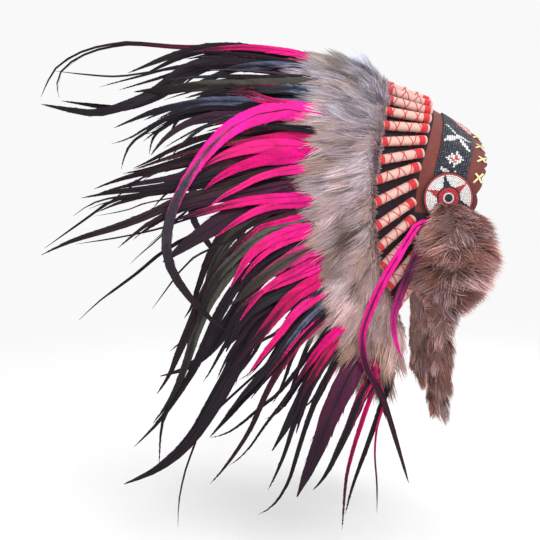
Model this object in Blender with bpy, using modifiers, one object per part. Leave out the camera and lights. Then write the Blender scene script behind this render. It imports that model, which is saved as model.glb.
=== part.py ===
"""Feathered headdress, shown as it is worn.

A sheet of felt and suede runs over the head from temple to temple. It carries quill wraps,
a beaded browband, two rosettes, a fur ruff, bunches of long feathers and hanging drops.

Every piece is placed in the sheet's own coordinates. The station runs from -1, the low end on the
wearer's right, through 0 over the forehead to 1. The distance runs back from the seam where the
wraps begin, and is negative towards the face. The height is measured out from the sheet's outer
face. The face looks along -Y, and the origin is where the middle of the band sits on the head.
"""

import math

import bmesh
import bpy
import numpy as np
from mathutils import Matrix, Vector

PIECE_GAP = 0.0003  # clearance between pieces that touch
SHEET_STEPS = 8  # straight steps that a feather's bend is summed over

# The sheet over the head
HALF_WIDTH = 0.086  # middle plane to the widest part of the seam
ARCH_DEPTH = 0.183  # top of the seam to its low ends
APEX_HEIGHT = 0.0205  # top of the seam above the origin
SEAM_SETBACK = 0.060  # origin back to the rearmost part of the seam
BEND_RADIUS = 0.003  # rounding of the bend along the seam
FELT_WALL = 0.0025
FELT_REACH = 0.074  # how far the felt runs back under the feathers
FELT_FLAP = 0.026  # how far it runs forward below the suede
FELT_END = 1.03  # station of its low ends
SUEDE_WALL = 0.002
SUEDE_END = 0.757  # station where the suede stops
SUEDE_STRIP = 0.016  # suede seen between the wraps and the beads
SUEDE_MARGIN = 0.0155  # suede seen in front of the beads
SCALLOP_DEPTH = 0.0035  # waves of the laced front edge
SCALLOP_INSET = 0.6  # share of a wave's depth that lies inside the margin
SCALLOPS = 9  # waves on each side
FLAP_SLOT = 0.004  # stations between the suede's end and the felt's flap

# What lies on it
BAND_WIDTH = 0.040  # beaded browband
BAND_WALL = 0.0026
BAND_END = 0.71  # station of its ends, under the rosettes
BAND_SEAT = 0.0006  # clearance of the band over the suede
ROSETTE_RADIUS = 0.0305
ROSETTE_WALL = 0.0036
ROSETTE_STATION = 0.69
ROSETTE_SEAT = 0.0012  # clearance of a rosette over the browband
WRAPS_A_SIDE = 13
WRAP_LENGTH = 0.060
WRAP_RADIUS = 0.0055
WRAP_TIE_RAISE = 0.0003  # red ties stand this far out of the wrap
WRAP_START = 0.0035  # seam back to the wrap
WRAP_SEAT = 0.0005  # clearance of a wrap over the felt

# Feathers and fur
FEATHER_LENGTH = 0.425  # longest feather, from its wrap
FEATHER_WIDTH = 0.019
VANE_WALL = 0.0014
ROOT_DEPTH = 0.018  # strip that holds the roots of a bunch
BUNCH_GAP = 0.0006  # between the root strips of two bunches
LANE_FILL = 0.72  # most of its lane that a feather takes
END_LAP = 0.25  # wrap spacings that the feathers reach past the last wrap
FUR_LENGTH = 0.104
FUR_END = 1.07  # station of its low ends
FUR_SHORTENED = 0.76  # share of FUR_LENGTH that is left at the low ends
FUR_FULL = 0.80  # station where the fur starts to shorten
FUR_DEPTH = 0.021
FUR_LOCKS = 37
FUR_SEAT = 0.0032  # clearance between the ends of the wraps and the fur
FUR_LOFT = 0.0040  # the tips of the fur stand this far off the feathers
DROP_LENGTH = 0.252  # fur drop, from the middle of the rosette
DROP_WIDTH = 0.098
DROP_DEPTH = 0.046
DROP_CLEARANCE = 0.0009  # between a rosette and the drop that hangs over it
STRAND_LENGTH = 0.305  # longer strand of a feather drop
STRAND_WIDTH = 0.012
STRAND_WALL = 0.0012
STRAND_SPLIT = 0.014  # distance between the strands at their root
STRAND_TIE = 0.006  # height of the tie that joins them
STRAND_ACROSS = (0, 0.92, 0.38)  # direction of a strand's width

# The right side's arch at eight equal steps of the station. Shares: out of HALF_WIDTH, down of
# ARCH_DEPTH, back of SEAM_SETBACK, strip of SUEDE_STRIP, margin of SUEDE_MARGIN, reach of
# FEATHER_LENGTH. Angles in degrees: fall and flare of the wraps, front_fall and inward of the
# band in front of the seam, tip_fall and tip_flare of the feathers' ends.
ARCH_COLUMNS = (
    "out", "down", "back", "fall", "flare", "front_fall", "inward",
    "strip", "margin", "tip_fall", "tip_flare", "reach",
)
ARCH_ROWS = (
    (0.000, 0.000, 0.43, -21, 0, 31, 0, 0.88, 0.90, 22, 0, 1.00),
    (0.331, 0.051, 0.46, -16, 13, 29, 3, 0.92, 0.95, 25, 8, 0.99),
    (0.634, 0.133, 0.56, -6, 19, 22, 6, 1.00, 1.05, 31, 13, 0.97),
    (0.862, 0.254, 0.69, 5, 22, 12, 8, 1.10, 1.25, 40, 15, 0.96),
    (0.973, 0.396, 0.83, 19, 22, 4, 7, 1.20, 1.30, 54, 15, 0.95),
    (1.000, 0.599, 0.92, 34, 21, 0, 6, 1.25, 1.00, 66, 13, 0.92),
    (0.991, 0.795, 0.90, 44, 20, 0, 6, 1.25, 0.90, 78, 10, 0.80),
    (0.959, 1.000, 0.72, 52, 20, 0, 6, 1.25, 0.90, 93, 6, 0.64),
)
MIRRORED = ("out", "flare", "inward", "tip_flare")

# A wrap from its front end to its rear end: along is a share of WRAP_LENGTH, radius of
# WRAP_RADIUS, and tied rows also carry the raised tie.
WRAP_ROWS = (
    # along, radius, tied
    (0.000, 0.00, False),
    (0.000, 0.84, False),
    (0.035, 1.00, False),
    (0.060, 1.00, True),
    (0.190, 1.00, True),
    (0.210, 1.00, False),
    (0.860, 1.00, False),
    (0.880, 1.00, True),
    (0.985, 1.00, True),
    (1.000, 0.00, False),
)

# A rosette's face from its middle to its edge and back under it: out is a share of
# ROSETTE_RADIUS, high of ROSETTE_WALL.
ROSETTE_ROWS = (
    # out, high
    (0.00, 1.000),
    (0.14, 1.000),
    (0.90, 0.860),
    (0.96, 0.350),
    (1.00, 0.315),
    (1.00, 0.000),
    (0.00, 0.000),
)

# Feathers of one bunch: length is a share of the local reach, width of FEATHER_WIDTH, lift the
# angle in degrees that the feather leaves the sheet by, drift its sideways lean in lane widths.
BUNCH_COLUMNS = ("length", "width", "lift", "drift")
FULL_BUNCH = (
    (0.80, 0.90, 4, 0.12),
    (0.97, 1.05, -3, 0.20),
    (0.70, 0.95, 7, -0.10),
    (1.00, 1.00, 1, -0.05),
    (0.86, 1.10, -5, -0.12),
)
SMALL_BUNCH = (
    (0.84, 1.00, 3, 0.1),
    (1.00, 1.05, -2, 0.0),
    (0.90, 1.00, 5, -0.1),
)
# A feather from root to tip: width as a share of its own width.
VANE_ROWS = ((0.0, 0.36), (0.16, 0.62), (0.36, 0.95), (0.58, 1.00), (0.80, 0.66), (1.0, 0.08))

# The fur ruff across its depth: along is a share of the lock's length, rise of FUR_DEPTH. Its
# underside has loft as a share of FUR_LOFT.
RUFF_UNDER = ((1.00, 1.0), (0.50, 0.7), (0.16, 0.0), (0.00, 0.0))  # along, loft
RUFF_ROWS = (
    # along, rise
    (0.00, 0.30),
    (0.12, 0.80),
    (0.42, 0.92),
    (0.74, 0.58),
    (1.00, 0.11),
)
LOCK_LENGTHS = (1.0, 0.86, 1.08, 0.93, 1.13, 0.9, 1.02)  # of FUR_LENGTH, in turn
VALLEY_LENGTH = 0.74  # of the lock beside it
VALLEY_RISE = 0.70

# Fur drop from its root down. Shares: down of DROP_LENGTH, back and width of DROP_WIDTH, depth
# of DROP_DEPTH.
DROP_ROWS = (
    # down, back, width, depth
    (0.030, 0.00, 0.18, 0.22),
    (0.090, -0.10, 0.50, 0.50),
    (0.200, -0.08, 0.74, 0.90),
    (0.310, -0.03, 0.82, 1.00),
    (0.420, 0.02, 0.70, 0.82),
    (0.510, 0.08, 0.42, 0.58),
    (0.640, 0.10, 0.29, 0.48),
    (0.800, 0.11, 0.29, 0.42),
    (0.930, 0.12, 0.22, 0.28),
    (1.000, 0.12, 0.04, 0.05),
)
# Locks that stand out of a drop: down as above, front and reach shares of DROP_WIDTH, turn in
# degrees from straight down towards the front.
DROP_LOCKS = (
    # down, front, turn, reach
    (0.12, 0.14, 64, 0.40),
    (0.18, 0.22, 48, 0.40),
    (0.25, 0.24, 34, 0.44),
    (0.32, 0.24, 20, 0.42),
    (0.38, 0.16, 8, 0.40),
    (0.40, 0.00, -4, 0.36),
    (0.36, -0.14, -18, 0.38),
    (0.30, -0.22, -34, 0.30),
    (0.60, 0.00, 12, 0.26),
    (0.72, -0.14, -12, 0.26),
    (0.84, -0.06, 10, 0.22),
)
LOCK_RADIUS = 0.0075
LOCK_TIP = 0.0006  # radius of a lock's end
LOCK_SET = 0.35  # where its middle lies along it from the drop's middle line, of its length

# The two strands of a feather drop. Shares: out, back and down of STRAND_LENGTH from the shared
# root, width of STRAND_WIDTH, split of STRAND_SPLIT.
STRAND_ROOT = (0.0978, 0.0430, -0.112)  # out, back and up of the root
LONG_STRAND = (
    # out, back, down, width, split
    (0.000, 0.000, 0.000, 0.45, 1.0),
    (0.052, 0.044, 0.049, 0.60, 1.0),
    (0.100, 0.090, 0.095, 0.80, 0.5),
    (0.143, 0.166, 0.216, 1.00, 0.5),
    (0.182, 0.229, 0.362, 1.00, 0.5),
    (0.189, 0.236, 0.437, 0.95, 0.5),
    (0.182, 0.219, 0.526, 0.90, 0.5),
    (0.169, 0.153, 0.652, 0.80, 0.5),
    (0.149, 0.040, 0.978, 0.10, 1.0),
)
SHORT_STRAND = (
    # out, back, down, width, split
    (0.000, 0.000, 0.000, 0.45, 1.0),
    (0.060, 0.050, 0.090, 0.70, 1.0),
    (0.128, 0.102, 0.220, 0.95, 0.5),
    (0.158, 0.142, 0.335, 0.75, 0.5),
    (0.162, 0.132, 0.425, 0.50, 0.5),
    (0.158, 0.108, 0.490, 0.12, 0.5),
)
# Faces along and round the pieces
WRAP_SIDES = 8
ROSETTE_SIDES = 24
FELT_STEPS = 31
FLAP_STEPS = 8
SCALLOP_STEPS = 3
BAND_STEPS = 35
DROP_SIDES = 10
LOCK_SIDES = 5

COLOURS = {
    "felt": ((0.017, 0.014, 0.019), 0.95),
    "suede": ((0.205, 0.062, 0.052), 0.85),
    "beads": ((0.012, 0.016, 0.030), 0.35),
    "rosette": ((0.78, 0.76, 0.76), 0.35),
    "wrap": ((0.82, 0.58, 0.52), 0.80),
    "fur": ((0.42, 0.34, 0.34), 0.90),
    "feather": ((0.62, 0.012, 0.24), 0.55),
}


def clear_scene():
    for obj in list(bpy.data.objects):
        bpy.data.objects.remove(obj, do_unlink=True)


def material(name):
    colour, roughness = COLOURS[name]
    made = bpy.data.materials.get(name) or bpy.data.materials.new(name)
    made.use_nodes = True
    shader = made.node_tree.nodes["Principled BSDF"]
    shader.inputs["Base Color"].default_value = (*colour, 1.0)
    shader.inputs["Roughness"].default_value = roughness
    shader.inputs["Metallic"].default_value = 0.0
    return made


def arch_row(index):
    """A row of the arch's table, also just past its ends."""
    if index < 0:
        row = dict(zip(ARCH_COLUMNS, ARCH_ROWS[-index]))
        return {key: -value if key in MIRRORED else value for key, value in row.items()}
    if index < len(ARCH_ROWS):
        return dict(zip(ARCH_COLUMNS, ARCH_ROWS[index]))
    last, before = arch_row(len(ARCH_ROWS) - 1), arch_row(len(ARCH_ROWS) - 2)
    return {key: 2 * last[key] - before[key] for key in last}


def arch_at(station):
    """The arch's values at a station of one side, on a smooth curve through the rows."""
    place = station * (len(ARCH_ROWS) - 1)
    first = min(int(place), len(ARCH_ROWS) - 1)
    t = place - first
    a, b, c, d = (arch_row(first + step) for step in (-1, 0, 1, 2))
    return {
        key: b[key]
        + 0.5 * t * (c[key] - a[key])
        + 0.5 * t * t * (2 * a[key] - 5 * b[key] + 4 * c[key] - d[key])
        + 0.5 * t**3 * (3 * (b[key] - c[key]) + d[key] - a[key])
        for key in ARCH_COLUMNS
    }


def backward(fall, flare):
    """Unit vector that runs back, falls below the level and flares out, angles in degrees."""
    fall, flare = math.radians(fall), math.radians(flare)
    level = math.cos(flare)
    return np.array((math.sin(flare), level * math.cos(fall), -level * math.sin(fall)))


def rounded_ramp(distance):
    """The positive part of a distance, rounded where it starts."""
    return (distance + math.hypot(distance, BEND_RADIUS)) / 2


def wrap_end():
    return WRAP_START + WRAP_LENGTH


def sheet(station, distance):
    """A point of the sheet's outer face, or of its even continuation along the feathers."""
    at = arch_at(abs(station))
    back = backward(at["fall"], at["flare"])
    front = -backward(-at["front_fall"], at["inward"])
    point = np.array(
        (
            at["out"] * HALF_WIDTH,
            at["back"] * SEAM_SETBACK,
            APEX_HEIGHT - at["down"] * ARCH_DEPTH,
        )
    )
    straight = min(distance, wrap_end())
    point += back * rounded_ramp(straight) + front * rounded_ramp(-straight)
    beyond = distance - wrap_end()
    if beyond > 0:
        reach = at["reach"] * FEATHER_LENGTH
        for step in range(SHEET_STEPS):
            turned = beyond * (step + 0.5) / SHEET_STEPS / reach
            fall = at["fall"] + (at["tip_fall"] - at["fall"]) * turned
            flare = at["flare"] + (at["tip_flare"] - at["flare"]) * turned
            point += backward(fall, flare) * beyond / SHEET_STEPS
    return point * (math.copysign(1, station), 1, 1)


def frame_at(station, distance):
    """Point, unit vector along the arch, unit vector back and unit normal of the sheet."""
    small = 1e-4
    point = sheet(station, distance)
    along = sheet(station + small, distance) - sheet(station - small, distance)
    back = sheet(station, distance + small) - sheet(station, distance - small)
    back /= np.linalg.norm(back)
    normal = np.cross(along, back)
    normal /= np.linalg.norm(normal)
    return point, np.cross(back, normal), back, normal


def place(station, distance, height):
    point, _, _, normal = frame_at(station, distance)
    return point + normal * height


def finished(name, mesh, collection, material_name):
    """An object in its collection, with its material, shaded smooth between sharp edges."""
    obj = bpy.data.objects.new(name, mesh)
    collection.objects.link(obj)
    if not mesh.materials:
        mesh.materials.append(material(material_name))
    mesh.shade_smooth()
    mesh.set_sharp_from_angle(angle=math.radians(40))
    return obj


def loft(name, rings):
    """A closed mesh through rings of as many points each, with flat ends."""
    shape = bmesh.new()
    rows = [[shape.verts.new(point) for point in ring] for ring in rings]
    for row, following in zip(rows, rows[1:]):
        for i, corner in enumerate(row):
            j = (i + 1) % len(row)
            shape.faces.new((corner, row[j], following[j], following[i]))
    shape.faces.new(rows[0])
    shape.faces.new(rows[-1])
    bmesh.ops.triangulate(shape, faces=shape.faces[:])
    bmesh.ops.recalc_face_normals(shape, faces=shape.faces[:])
    if shape.calc_volume(signed=True) < 0:
        bmesh.ops.reverse_faces(shape, faces=shape.faces[:])
    mesh = bpy.data.meshes.new(name)
    shape.to_mesh(mesh)
    shape.free()
    return mesh


def slab(name, stations, distances_at, low, high):
    """A wall that follows the sheet between two heights; distances_at gives its columns."""
    rings = []
    for station in stations:
        distances = distances_at(station)
        outer = [place(station, distance, high) for distance in distances]
        inner = [place(station, distance, low) for distance in reversed(distances)]
        rings.append(outer + inner)
    return loft(name, rings)


def band_rear(station):
    return -arch_at(abs(station))["strip"] * SUEDE_STRIP


def band_front(station):
    return band_rear(station) - BAND_WIDTH


def suede_front(station):
    """The front edge, with a margin that narrows to nothing past the browband's end."""
    margin = arch_at(abs(station))["margin"] * SUEDE_MARGIN
    wave = abs(math.sin(math.pi * SCALLOPS * abs(station) / SUEDE_END))
    return band_front(station) - margin - SCALLOP_DEPTH * (wave - SCALLOP_INSET)


def spaced(first, last, count):
    return [first + (last - first) * i / (count - 1) for i in range(count)]


def felt_backing(collection):
    narrow = -WRAP_START / 2
    sides = spaced(SUEDE_END + FLAP_SLOT, FELT_END, FLAP_STEPS)
    middle = spaced(-SUEDE_END, SUEDE_END, FELT_STEPS)
    stations = [-station for station in reversed(sides)] + middle + sides

    def distances(station):
        front = -FELT_FLAP if abs(station) > SUEDE_END + FLAP_SLOT / 2 else narrow
        return [front, front / 2, WRAP_START, FELT_REACH]

    mesh = slab("felt_backing", stations, distances, -FELT_WALL, 0)
    finished("felt_backing", mesh, collection, "felt")


def suede_band(collection):
    end = SUEDE_END - FLAP_SLOT / 2
    stations = spaced(-end, end, 2 * SCALLOPS * SCALLOP_STEPS + 1)
    rear = -WRAP_START / 2 - PIECE_GAP

    def distances(station):
        front = suede_front(station)
        return [front, (front + rear) / 2, rear]

    mesh = slab("suede_band", stations, distances, -SUEDE_WALL, 0)
    finished("suede_band", mesh, collection, "suede")


def beaded_browband(collection):
    stations = spaced(-BAND_END, BAND_END, BAND_STEPS)

    def distances(station):
        return spaced(band_front(station), band_rear(station), 3)

    mesh = slab("beaded_browband", stations, distances, BAND_SEAT, BAND_SEAT + BAND_WALL)
    finished("beaded_browband", mesh, collection, "beads")


def turned(name, profile, sides, collection, material_name):
    """A profile of (radius, height) pairs, top to bottom, turned round the local Z axis."""
    mesh = bpy.data.meshes.new(name)
    points = [(radius, 0, height) for radius, height in profile]
    mesh.from_pydata(points, [(i, i + 1) for i in range(len(points) - 1)], [])
    obj = finished(name, mesh, collection, material_name)
    screw = obj.modifiers.new("Turn", "SCREW")
    screw.steps = screw.render_steps = sides
    screw.use_merge_vertices = True
    screw.merge_threshold = 0.0001
    screw.use_smooth_shade = True
    return obj


def rosette_frame(side):
    """Centre of a rosette's back and its axes, clear of the browband under it."""
    station = side * ROSETTE_STATION
    middle = (band_front(station) + band_rear(station)) / 2
    point, along, back, normal = frame_at(station, middle)
    highest = 0
    for turn in range(ROSETTE_SIDES // 2):
        angle = 2 * math.pi * turn / (ROSETTE_SIDES // 2)
        share = side * ROSETTE_RADIUS * math.cos(angle) / (HALF_WIDTH + ARCH_DEPTH)
        other = place(station + share, middle + ROSETTE_RADIUS * math.sin(angle), 0)
        highest = max(highest, float(np.dot(other - point, normal)))
    base = highest + ROSETTE_SEAT + BAND_WALL
    return point + normal * base, along, back, normal


def rosette(side, name, collection):
    profile = [(out * ROSETTE_RADIUS, high * ROSETTE_WALL) for out, high in ROSETTE_ROWS]
    obj = turned(name, profile, ROSETTE_SIDES, collection, "rosette")
    point, along, back, normal = rosette_frame(side)
    axes = Matrix((along, back, normal)).transposed()
    obj.matrix_world = Matrix.Translation(Vector(point)) @ axes.to_4x4()


def quill_wraps(collection):
    """One shared mesh, turned once, with a raised tie near each end."""
    profile = []
    for along, radius, tied in reversed(WRAP_ROWS):
        raised = WRAP_TIE_RAISE if tied else 0
        profile.append((radius * WRAP_RADIUS + raised, along * WRAP_LENGTH))
    shared = None
    count = WRAPS_A_SIDE
    for index in range(-count, count + 1):
        side = "centre" if index == 0 else "left" if index > 0 else "right"
        name = "quill_wrap_" + side + (f"_{abs(index):02d}" if index else "")
        if shared is None:
            obj = turned(name, profile, WRAP_SIDES, collection, "wrap")
            shared = obj
        else:
            obj = shared.copy()
            obj.name = name
            collection.objects.link(obj)
        obj.matrix_world = wrap_matrix(index / count)


def wrap_matrix(station):
    """Where a wrap lies: its Z axis runs back along the felt."""
    point, along, back, normal = frame_at(station, WRAP_START)
    far = sheet(station, wrap_end())
    back = (far - point) / np.linalg.norm(far - point)
    normal = np.cross(along, back)
    normal /= np.linalg.norm(normal)
    along = np.cross(back, normal)
    centre = point + normal * (WRAP_RADIUS + WRAP_TIE_RAISE + WRAP_SEAT)
    axes = Matrix((along, normal, -back)).transposed()
    return Matrix.Translation(Vector(centre + back * WRAP_LENGTH)) @ axes.to_4x4()


def vane_width(share):
    shares, widths = zip(*VANE_ROWS)
    return float(np.interp(share, shares, widths))


def feather_bunch(name, first, last, feathers, collection):
    """Feathers side by side on a root strip, as one thin sheet that is then thickened."""
    height = PIECE_GAP + VANE_WALL / 2
    root_start = wrap_end() + PIECE_GAP
    root_end = root_start + ROOT_DEPTH
    fur_end = root_start + FUR_SEAT + FUR_LENGTH * max(LOCK_LENGTHS)
    lane = (last - first) / len(feathers)
    shape = bmesh.new()
    columns = []
    for index, row in enumerate(feathers):
        feather = dict(zip(BUNCH_COLUMNS, row))
        middle = first + (index + 0.5) * lane
        start = [
            [
                shape.verts.new(place(middle + lane * edge, distance, height))
                for edge in (-LANE_FILL / 2, LANE_FILL / 2)
            ]
            for distance in (root_start, root_end)
        ]
        columns.append(start)
        length = arch_at(abs(middle))["reach"] * FEATHER_LENGTH * feather["length"]
        previous = start[1]
        for share, _ in VANE_ROWS[1:]:
            distance = root_end + (wrap_end() + length - root_end) * share
            station = middle + lane * feather["drift"] * share
            rise = max(0, distance - fur_end) * math.tan(math.radians(feather["lift"]))
            point, along, _, normal = frame_at(station, distance)
            point = point + normal * (height + rise)
            lane_width = sheet(station + lane / 2, distance) - sheet(station - lane / 2, distance)
            room = abs(float(np.dot(lane_width, along)))
            width = min(FEATHER_WIDTH * feather["width"] * vane_width(share), room * LANE_FILL)
            edges = [shape.verts.new(point + along * width * half) for half in (-0.5, 0.5)]
            shape.faces.new((previous[0], previous[1], edges[1], edges[0]))
            previous = edges
    corners = [corner for start in columns for corner in zip(*start)]
    for (near, far), (near_next, far_next) in zip(corners, corners[1:]):
        shape.faces.new((near, near_next, far_next, far))
    bmesh.ops.recalc_face_normals(shape, faces=shape.faces[:])
    mesh = bpy.data.meshes.new(name)
    shape.to_mesh(mesh)
    shape.free()
    obj = finished(name, mesh, collection, "feather")
    solidify = obj.modifiers.new("Thickness", "SOLIDIFY")
    solidify.thickness = VANE_WALL
    solidify.offset = 0
    return obj


def feather_bunches(collection):
    """A small bunch behind the middle wrap, and full ones behind each two wraps of a side."""
    step = 1 / WRAPS_A_SIDE
    slack = BUNCH_GAP / (HALF_WIDTH + ARCH_DEPTH)
    feather_bunch("feathers_centre", -step / 2 + slack, step / 2 - slack, SMALL_BUNCH, collection)
    bunches = math.ceil(WRAPS_A_SIDE / 2)
    for index in range(bunches):
        first = (2 * index + 0.5) * step
        last = min(first + 2 * step, 1 + step * END_LAP)
        whole = last - first > 1.5 * step
        feathers = FULL_BUNCH if whole else SMALL_BUNCH
        ends = first + slack, last - slack
        feather_bunch(f"feathers_left_{index + 1}", *ends, feathers, collection)
        feather_bunch(f"feathers_right_{index + 1}", -ends[1], -ends[0], feathers[::-1], collection)


def ruff_loft(along):
    """The underside's loft at a share of a lock's length."""
    alongs, lofts = zip(*reversed(RUFF_UNDER))
    return float(np.interp(along, alongs, lofts))


def fur_length(station):
    """The local length of the fur, shorter towards the low ends of the arch."""
    share = np.interp(abs(station), (FUR_FULL, FUR_END), (1, FUR_SHORTENED))
    return FUR_LENGTH * float(share)


def fur_ruff(collection):
    """Locks side by side along the arch, each a ridge that ends in a point."""
    low = 2 * PIECE_GAP + VANE_WALL
    start = wrap_end() + FUR_SEAT
    rings = []
    count = 2 * FUR_LOCKS + 1
    for index, station in enumerate(spaced(-FUR_END, FUR_END, count)):
        lock = LOCK_LENGTHS[(index // 2) % len(LOCK_LENGTHS)]
        ridge = index % 2 == 1
        length = fur_length(station) * lock * (1 if ridge else VALLEY_LENGTH)
        rise = FUR_DEPTH * (1 if ridge else VALLEY_RISE)
        outer = [
            place(station, start + length * along, low + FUR_LOFT * ruff_loft(along) + rise * up)
            for along, up in RUFF_ROWS
        ]
        inner = [
            place(station, start + length * along, low + FUR_LOFT * loft_share)
            for along, loft_share in RUFF_UNDER
        ]
        rings.append(outer + inner)
    finished("fur_ruff", loft("fur_ruff", rings), collection, "fur")


def oval(centre, width, depth):
    """A level ring of points, width along Y and depth along X."""
    turns = [2 * math.pi * i / DROP_SIDES for i in range(DROP_SIDES)]
    return [centre + (depth / 2 * math.cos(t), width / 2 * math.sin(t), 0) for t in turns]


def fur_drop(side, name, collection):
    """A bushy tuft that narrows to a tail, with locks joined to it by a union."""
    point, _, _, normal = rosette_frame(1)
    face = point + normal * (ROSETTE_WALL + DROP_CLEARANCE)
    outermost = face[0]

    def centre_at(down, back, depth):
        return np.array(
            (
                outermost + depth * DROP_DEPTH / 2,
                face[1] + back * DROP_WIDTH,
                face[2] - down * DROP_LENGTH,
            )
        )

    rings = [
        oval(centre_at(down, back, depth), width * DROP_WIDTH, depth * DROP_DEPTH)
        for down, back, width, depth in DROP_ROWS
    ]
    core = finished(name, loft(name, rings), collection, "fur")
    locks = bmesh.new()
    downs, backs, _, depths = zip(*DROP_ROWS)
    for down, front, turn, reach in DROP_LOCKS:
        depth = float(np.interp(down, downs, depths))
        back = float(np.interp(down, downs, backs))
        start = Vector(centre_at(down, back - front, depth))
        angle = math.radians(turn)
        heading = Vector((0, -math.sin(angle), -math.cos(angle)))
        length = reach * DROP_WIDTH
        made = bmesh.ops.create_cone(
            locks,
            cap_ends=True,
            segments=LOCK_SIDES,
            radius1=LOCK_RADIUS,
            radius2=LOCK_TIP,
            depth=length,
        )
        pointing = heading.to_track_quat("Z", "X").to_matrix().to_4x4()
        move = Matrix.Translation(start + heading * length * LOCK_SET) @ pointing
        bmesh.ops.transform(locks, matrix=move, verts=made["verts"])
    mesh = bpy.data.meshes.new(name + "_locks")
    locks.to_mesh(mesh)
    locks.free()
    helpers = bpy.data.collections["headdress_helpers"]
    extra = bpy.data.objects.new(name + "_locks", mesh)
    helpers.objects.link(extra)
    extra.hide_render = True
    extra.display_type = "WIRE"
    union = core.modifiers.new("Locks", "BOOLEAN")
    union.operation = "UNION"
    union.solver = "EXACT"
    union.use_self = True
    union.object = extra
    for obj in (core, extra):
        obj.scale.x = side
    return core


def feather_drop(side, name, collection):
    """Two thin feathers that part below a shared root."""
    shape = bmesh.new()
    root = np.array(STRAND_ROOT)
    starts = []
    for index, rows in enumerate((LONG_STRAND, SHORT_STRAND)):
        previous = None
        to_side = STRAND_SPLIT * (0.5 - index)
        for out, back, down, width, split in rows:
            point = root + np.array((out, back, -down)) * STRAND_LENGTH
            point = point + (0, to_side * split, 0)
            across = np.array(STRAND_ACROSS) * STRAND_WIDTH * width / 2
            edges = [shape.verts.new(point - across), shape.verts.new(point + across)]
            if previous:
                shape.faces.new((previous[0], previous[1], edges[1], edges[0]))
            else:
                starts.append(edges)
            previous = edges
    above = Vector((0, 0, STRAND_TIE))
    front_end, back_end = starts[1], starts[0]
    lower = (*front_end, *back_end)
    upper = [shape.verts.new(corner.co + above) for corner in lower]
    for i in range(len(lower) - 1):
        shape.faces.new((lower[i], lower[i + 1], upper[i + 1], upper[i]))
    bmesh.ops.recalc_face_normals(shape, faces=shape.faces[:])
    mesh = bpy.data.meshes.new(name)
    shape.to_mesh(mesh)
    shape.free()
    obj = finished(name, mesh, collection, "feather")
    solidify = obj.modifiers.new("Thickness", "SOLIDIFY")
    solidify.thickness = STRAND_WALL
    solidify.offset = 0
    obj.scale.x = side


def main():
    clear_scene()
    collection = bpy.data.collections.new("feathered_headdress")
    helpers = bpy.data.collections.new("headdress_helpers")
    for made in (collection, helpers):
        bpy.context.scene.collection.children.link(made)
    felt_backing(collection)
    suede_band(collection)
    beaded_browband(collection)
    quill_wraps(collection)
    feather_bunches(collection)
    fur_ruff(collection)
    for side, name in ((-1, "right"), (1, "left")):
        rosette(side, "rosette_" + name, collection)
        fur_drop(side, "fur_drop_" + name, collection)
        feather_drop(side, "feather_drop_" + name, collection)


main()
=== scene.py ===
"""Looks of the feathered headdress: fur, barbed feathers, seed beads, thread and leather.

Everything is placed in the same sheet coordinates as the solids: the station runs along the arch
from the wearer's right (-1) to the left (1), the distance runs back from the seam, and the height
stands out from the sheet.
"""

import math

import bpy
import numpy as np
from mathutils import Matrix, Vector


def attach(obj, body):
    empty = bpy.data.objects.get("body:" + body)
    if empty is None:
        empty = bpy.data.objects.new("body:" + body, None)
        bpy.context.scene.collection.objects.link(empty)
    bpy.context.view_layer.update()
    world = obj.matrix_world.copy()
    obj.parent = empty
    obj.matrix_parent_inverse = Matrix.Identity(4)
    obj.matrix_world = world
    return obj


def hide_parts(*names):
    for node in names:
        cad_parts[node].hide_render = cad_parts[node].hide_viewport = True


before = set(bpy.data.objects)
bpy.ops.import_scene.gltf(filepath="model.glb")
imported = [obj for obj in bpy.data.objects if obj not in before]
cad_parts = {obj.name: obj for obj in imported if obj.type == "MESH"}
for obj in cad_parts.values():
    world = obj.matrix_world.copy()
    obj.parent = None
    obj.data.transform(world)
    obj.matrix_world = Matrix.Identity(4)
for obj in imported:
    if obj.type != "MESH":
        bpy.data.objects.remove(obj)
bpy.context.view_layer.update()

rng = np.random.default_rng(11)

# The sheet, with the values of the solids
PIECE_GAP = 0.0003
HALF_WIDTH = 0.086
ARCH_DEPTH = 0.183
APEX_HEIGHT = 0.0205
SEAM_SETBACK = 0.060
BEND_RADIUS = 0.003
FELT_WALL = 0.0025
FELT_REACH = 0.074
FELT_FLAP = 0.026
FELT_END = 1.03
SUEDE_WALL = 0.002
SUEDE_END = 0.757
SUEDE_STRIP = 0.016
SUEDE_MARGIN = 0.0155
FLAP_SLOT = 0.004  # stations between the suede's end and the felt's flap
SCALLOP_DEPTH = 0.0035
SCALLOPS = 9
BAND_WIDTH = 0.040
BAND_WALL = 0.0026
BAND_END = 0.71
ROSETTE_RADIUS = 0.0305
ROSETTE_WALL = 0.0036
ROSETTE_STATION = 0.69
WRAPS_A_SIDE = 13
WRAP_LENGTH = 0.060
WRAP_RADIUS = 0.0055
WRAP_TIE_RAISE = 0.0003
WRAP_START = 0.0035
WRAP_SEAT = 0.0005
FEATHER_LENGTH = 0.425
FUR_LENGTH = 0.104
FUR_DEPTH = 0.021
FUR_SEAT = 0.0032
FUR_START = WRAP_START + WRAP_LENGTH + FUR_SEAT
FUR_LOW = 2 * PIECE_GAP + 0.0014  # underside of the fur above the sheet
FUR_END = 1.07
FUR_SHORTENED = 0.76  # share of its length at the ends
FUR_FULL = 0.80  # station up to which it has its full length
DROP_LENGTH = 0.252
DROP_WIDTH = 0.098
DROP_DEPTH = 0.046
DROP_CLEARANCE = 0.0009
STRAND_LENGTH = 0.305
SHEET_STEPS = 8  # straight steps that a feather's bend is summed over
ARCH_COLUMNS = (
    "out", "down", "back", "fall", "flare", "front_fall", "inward",
    "strip", "margin", "tip_fall", "tip_flare", "reach",
)
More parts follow.
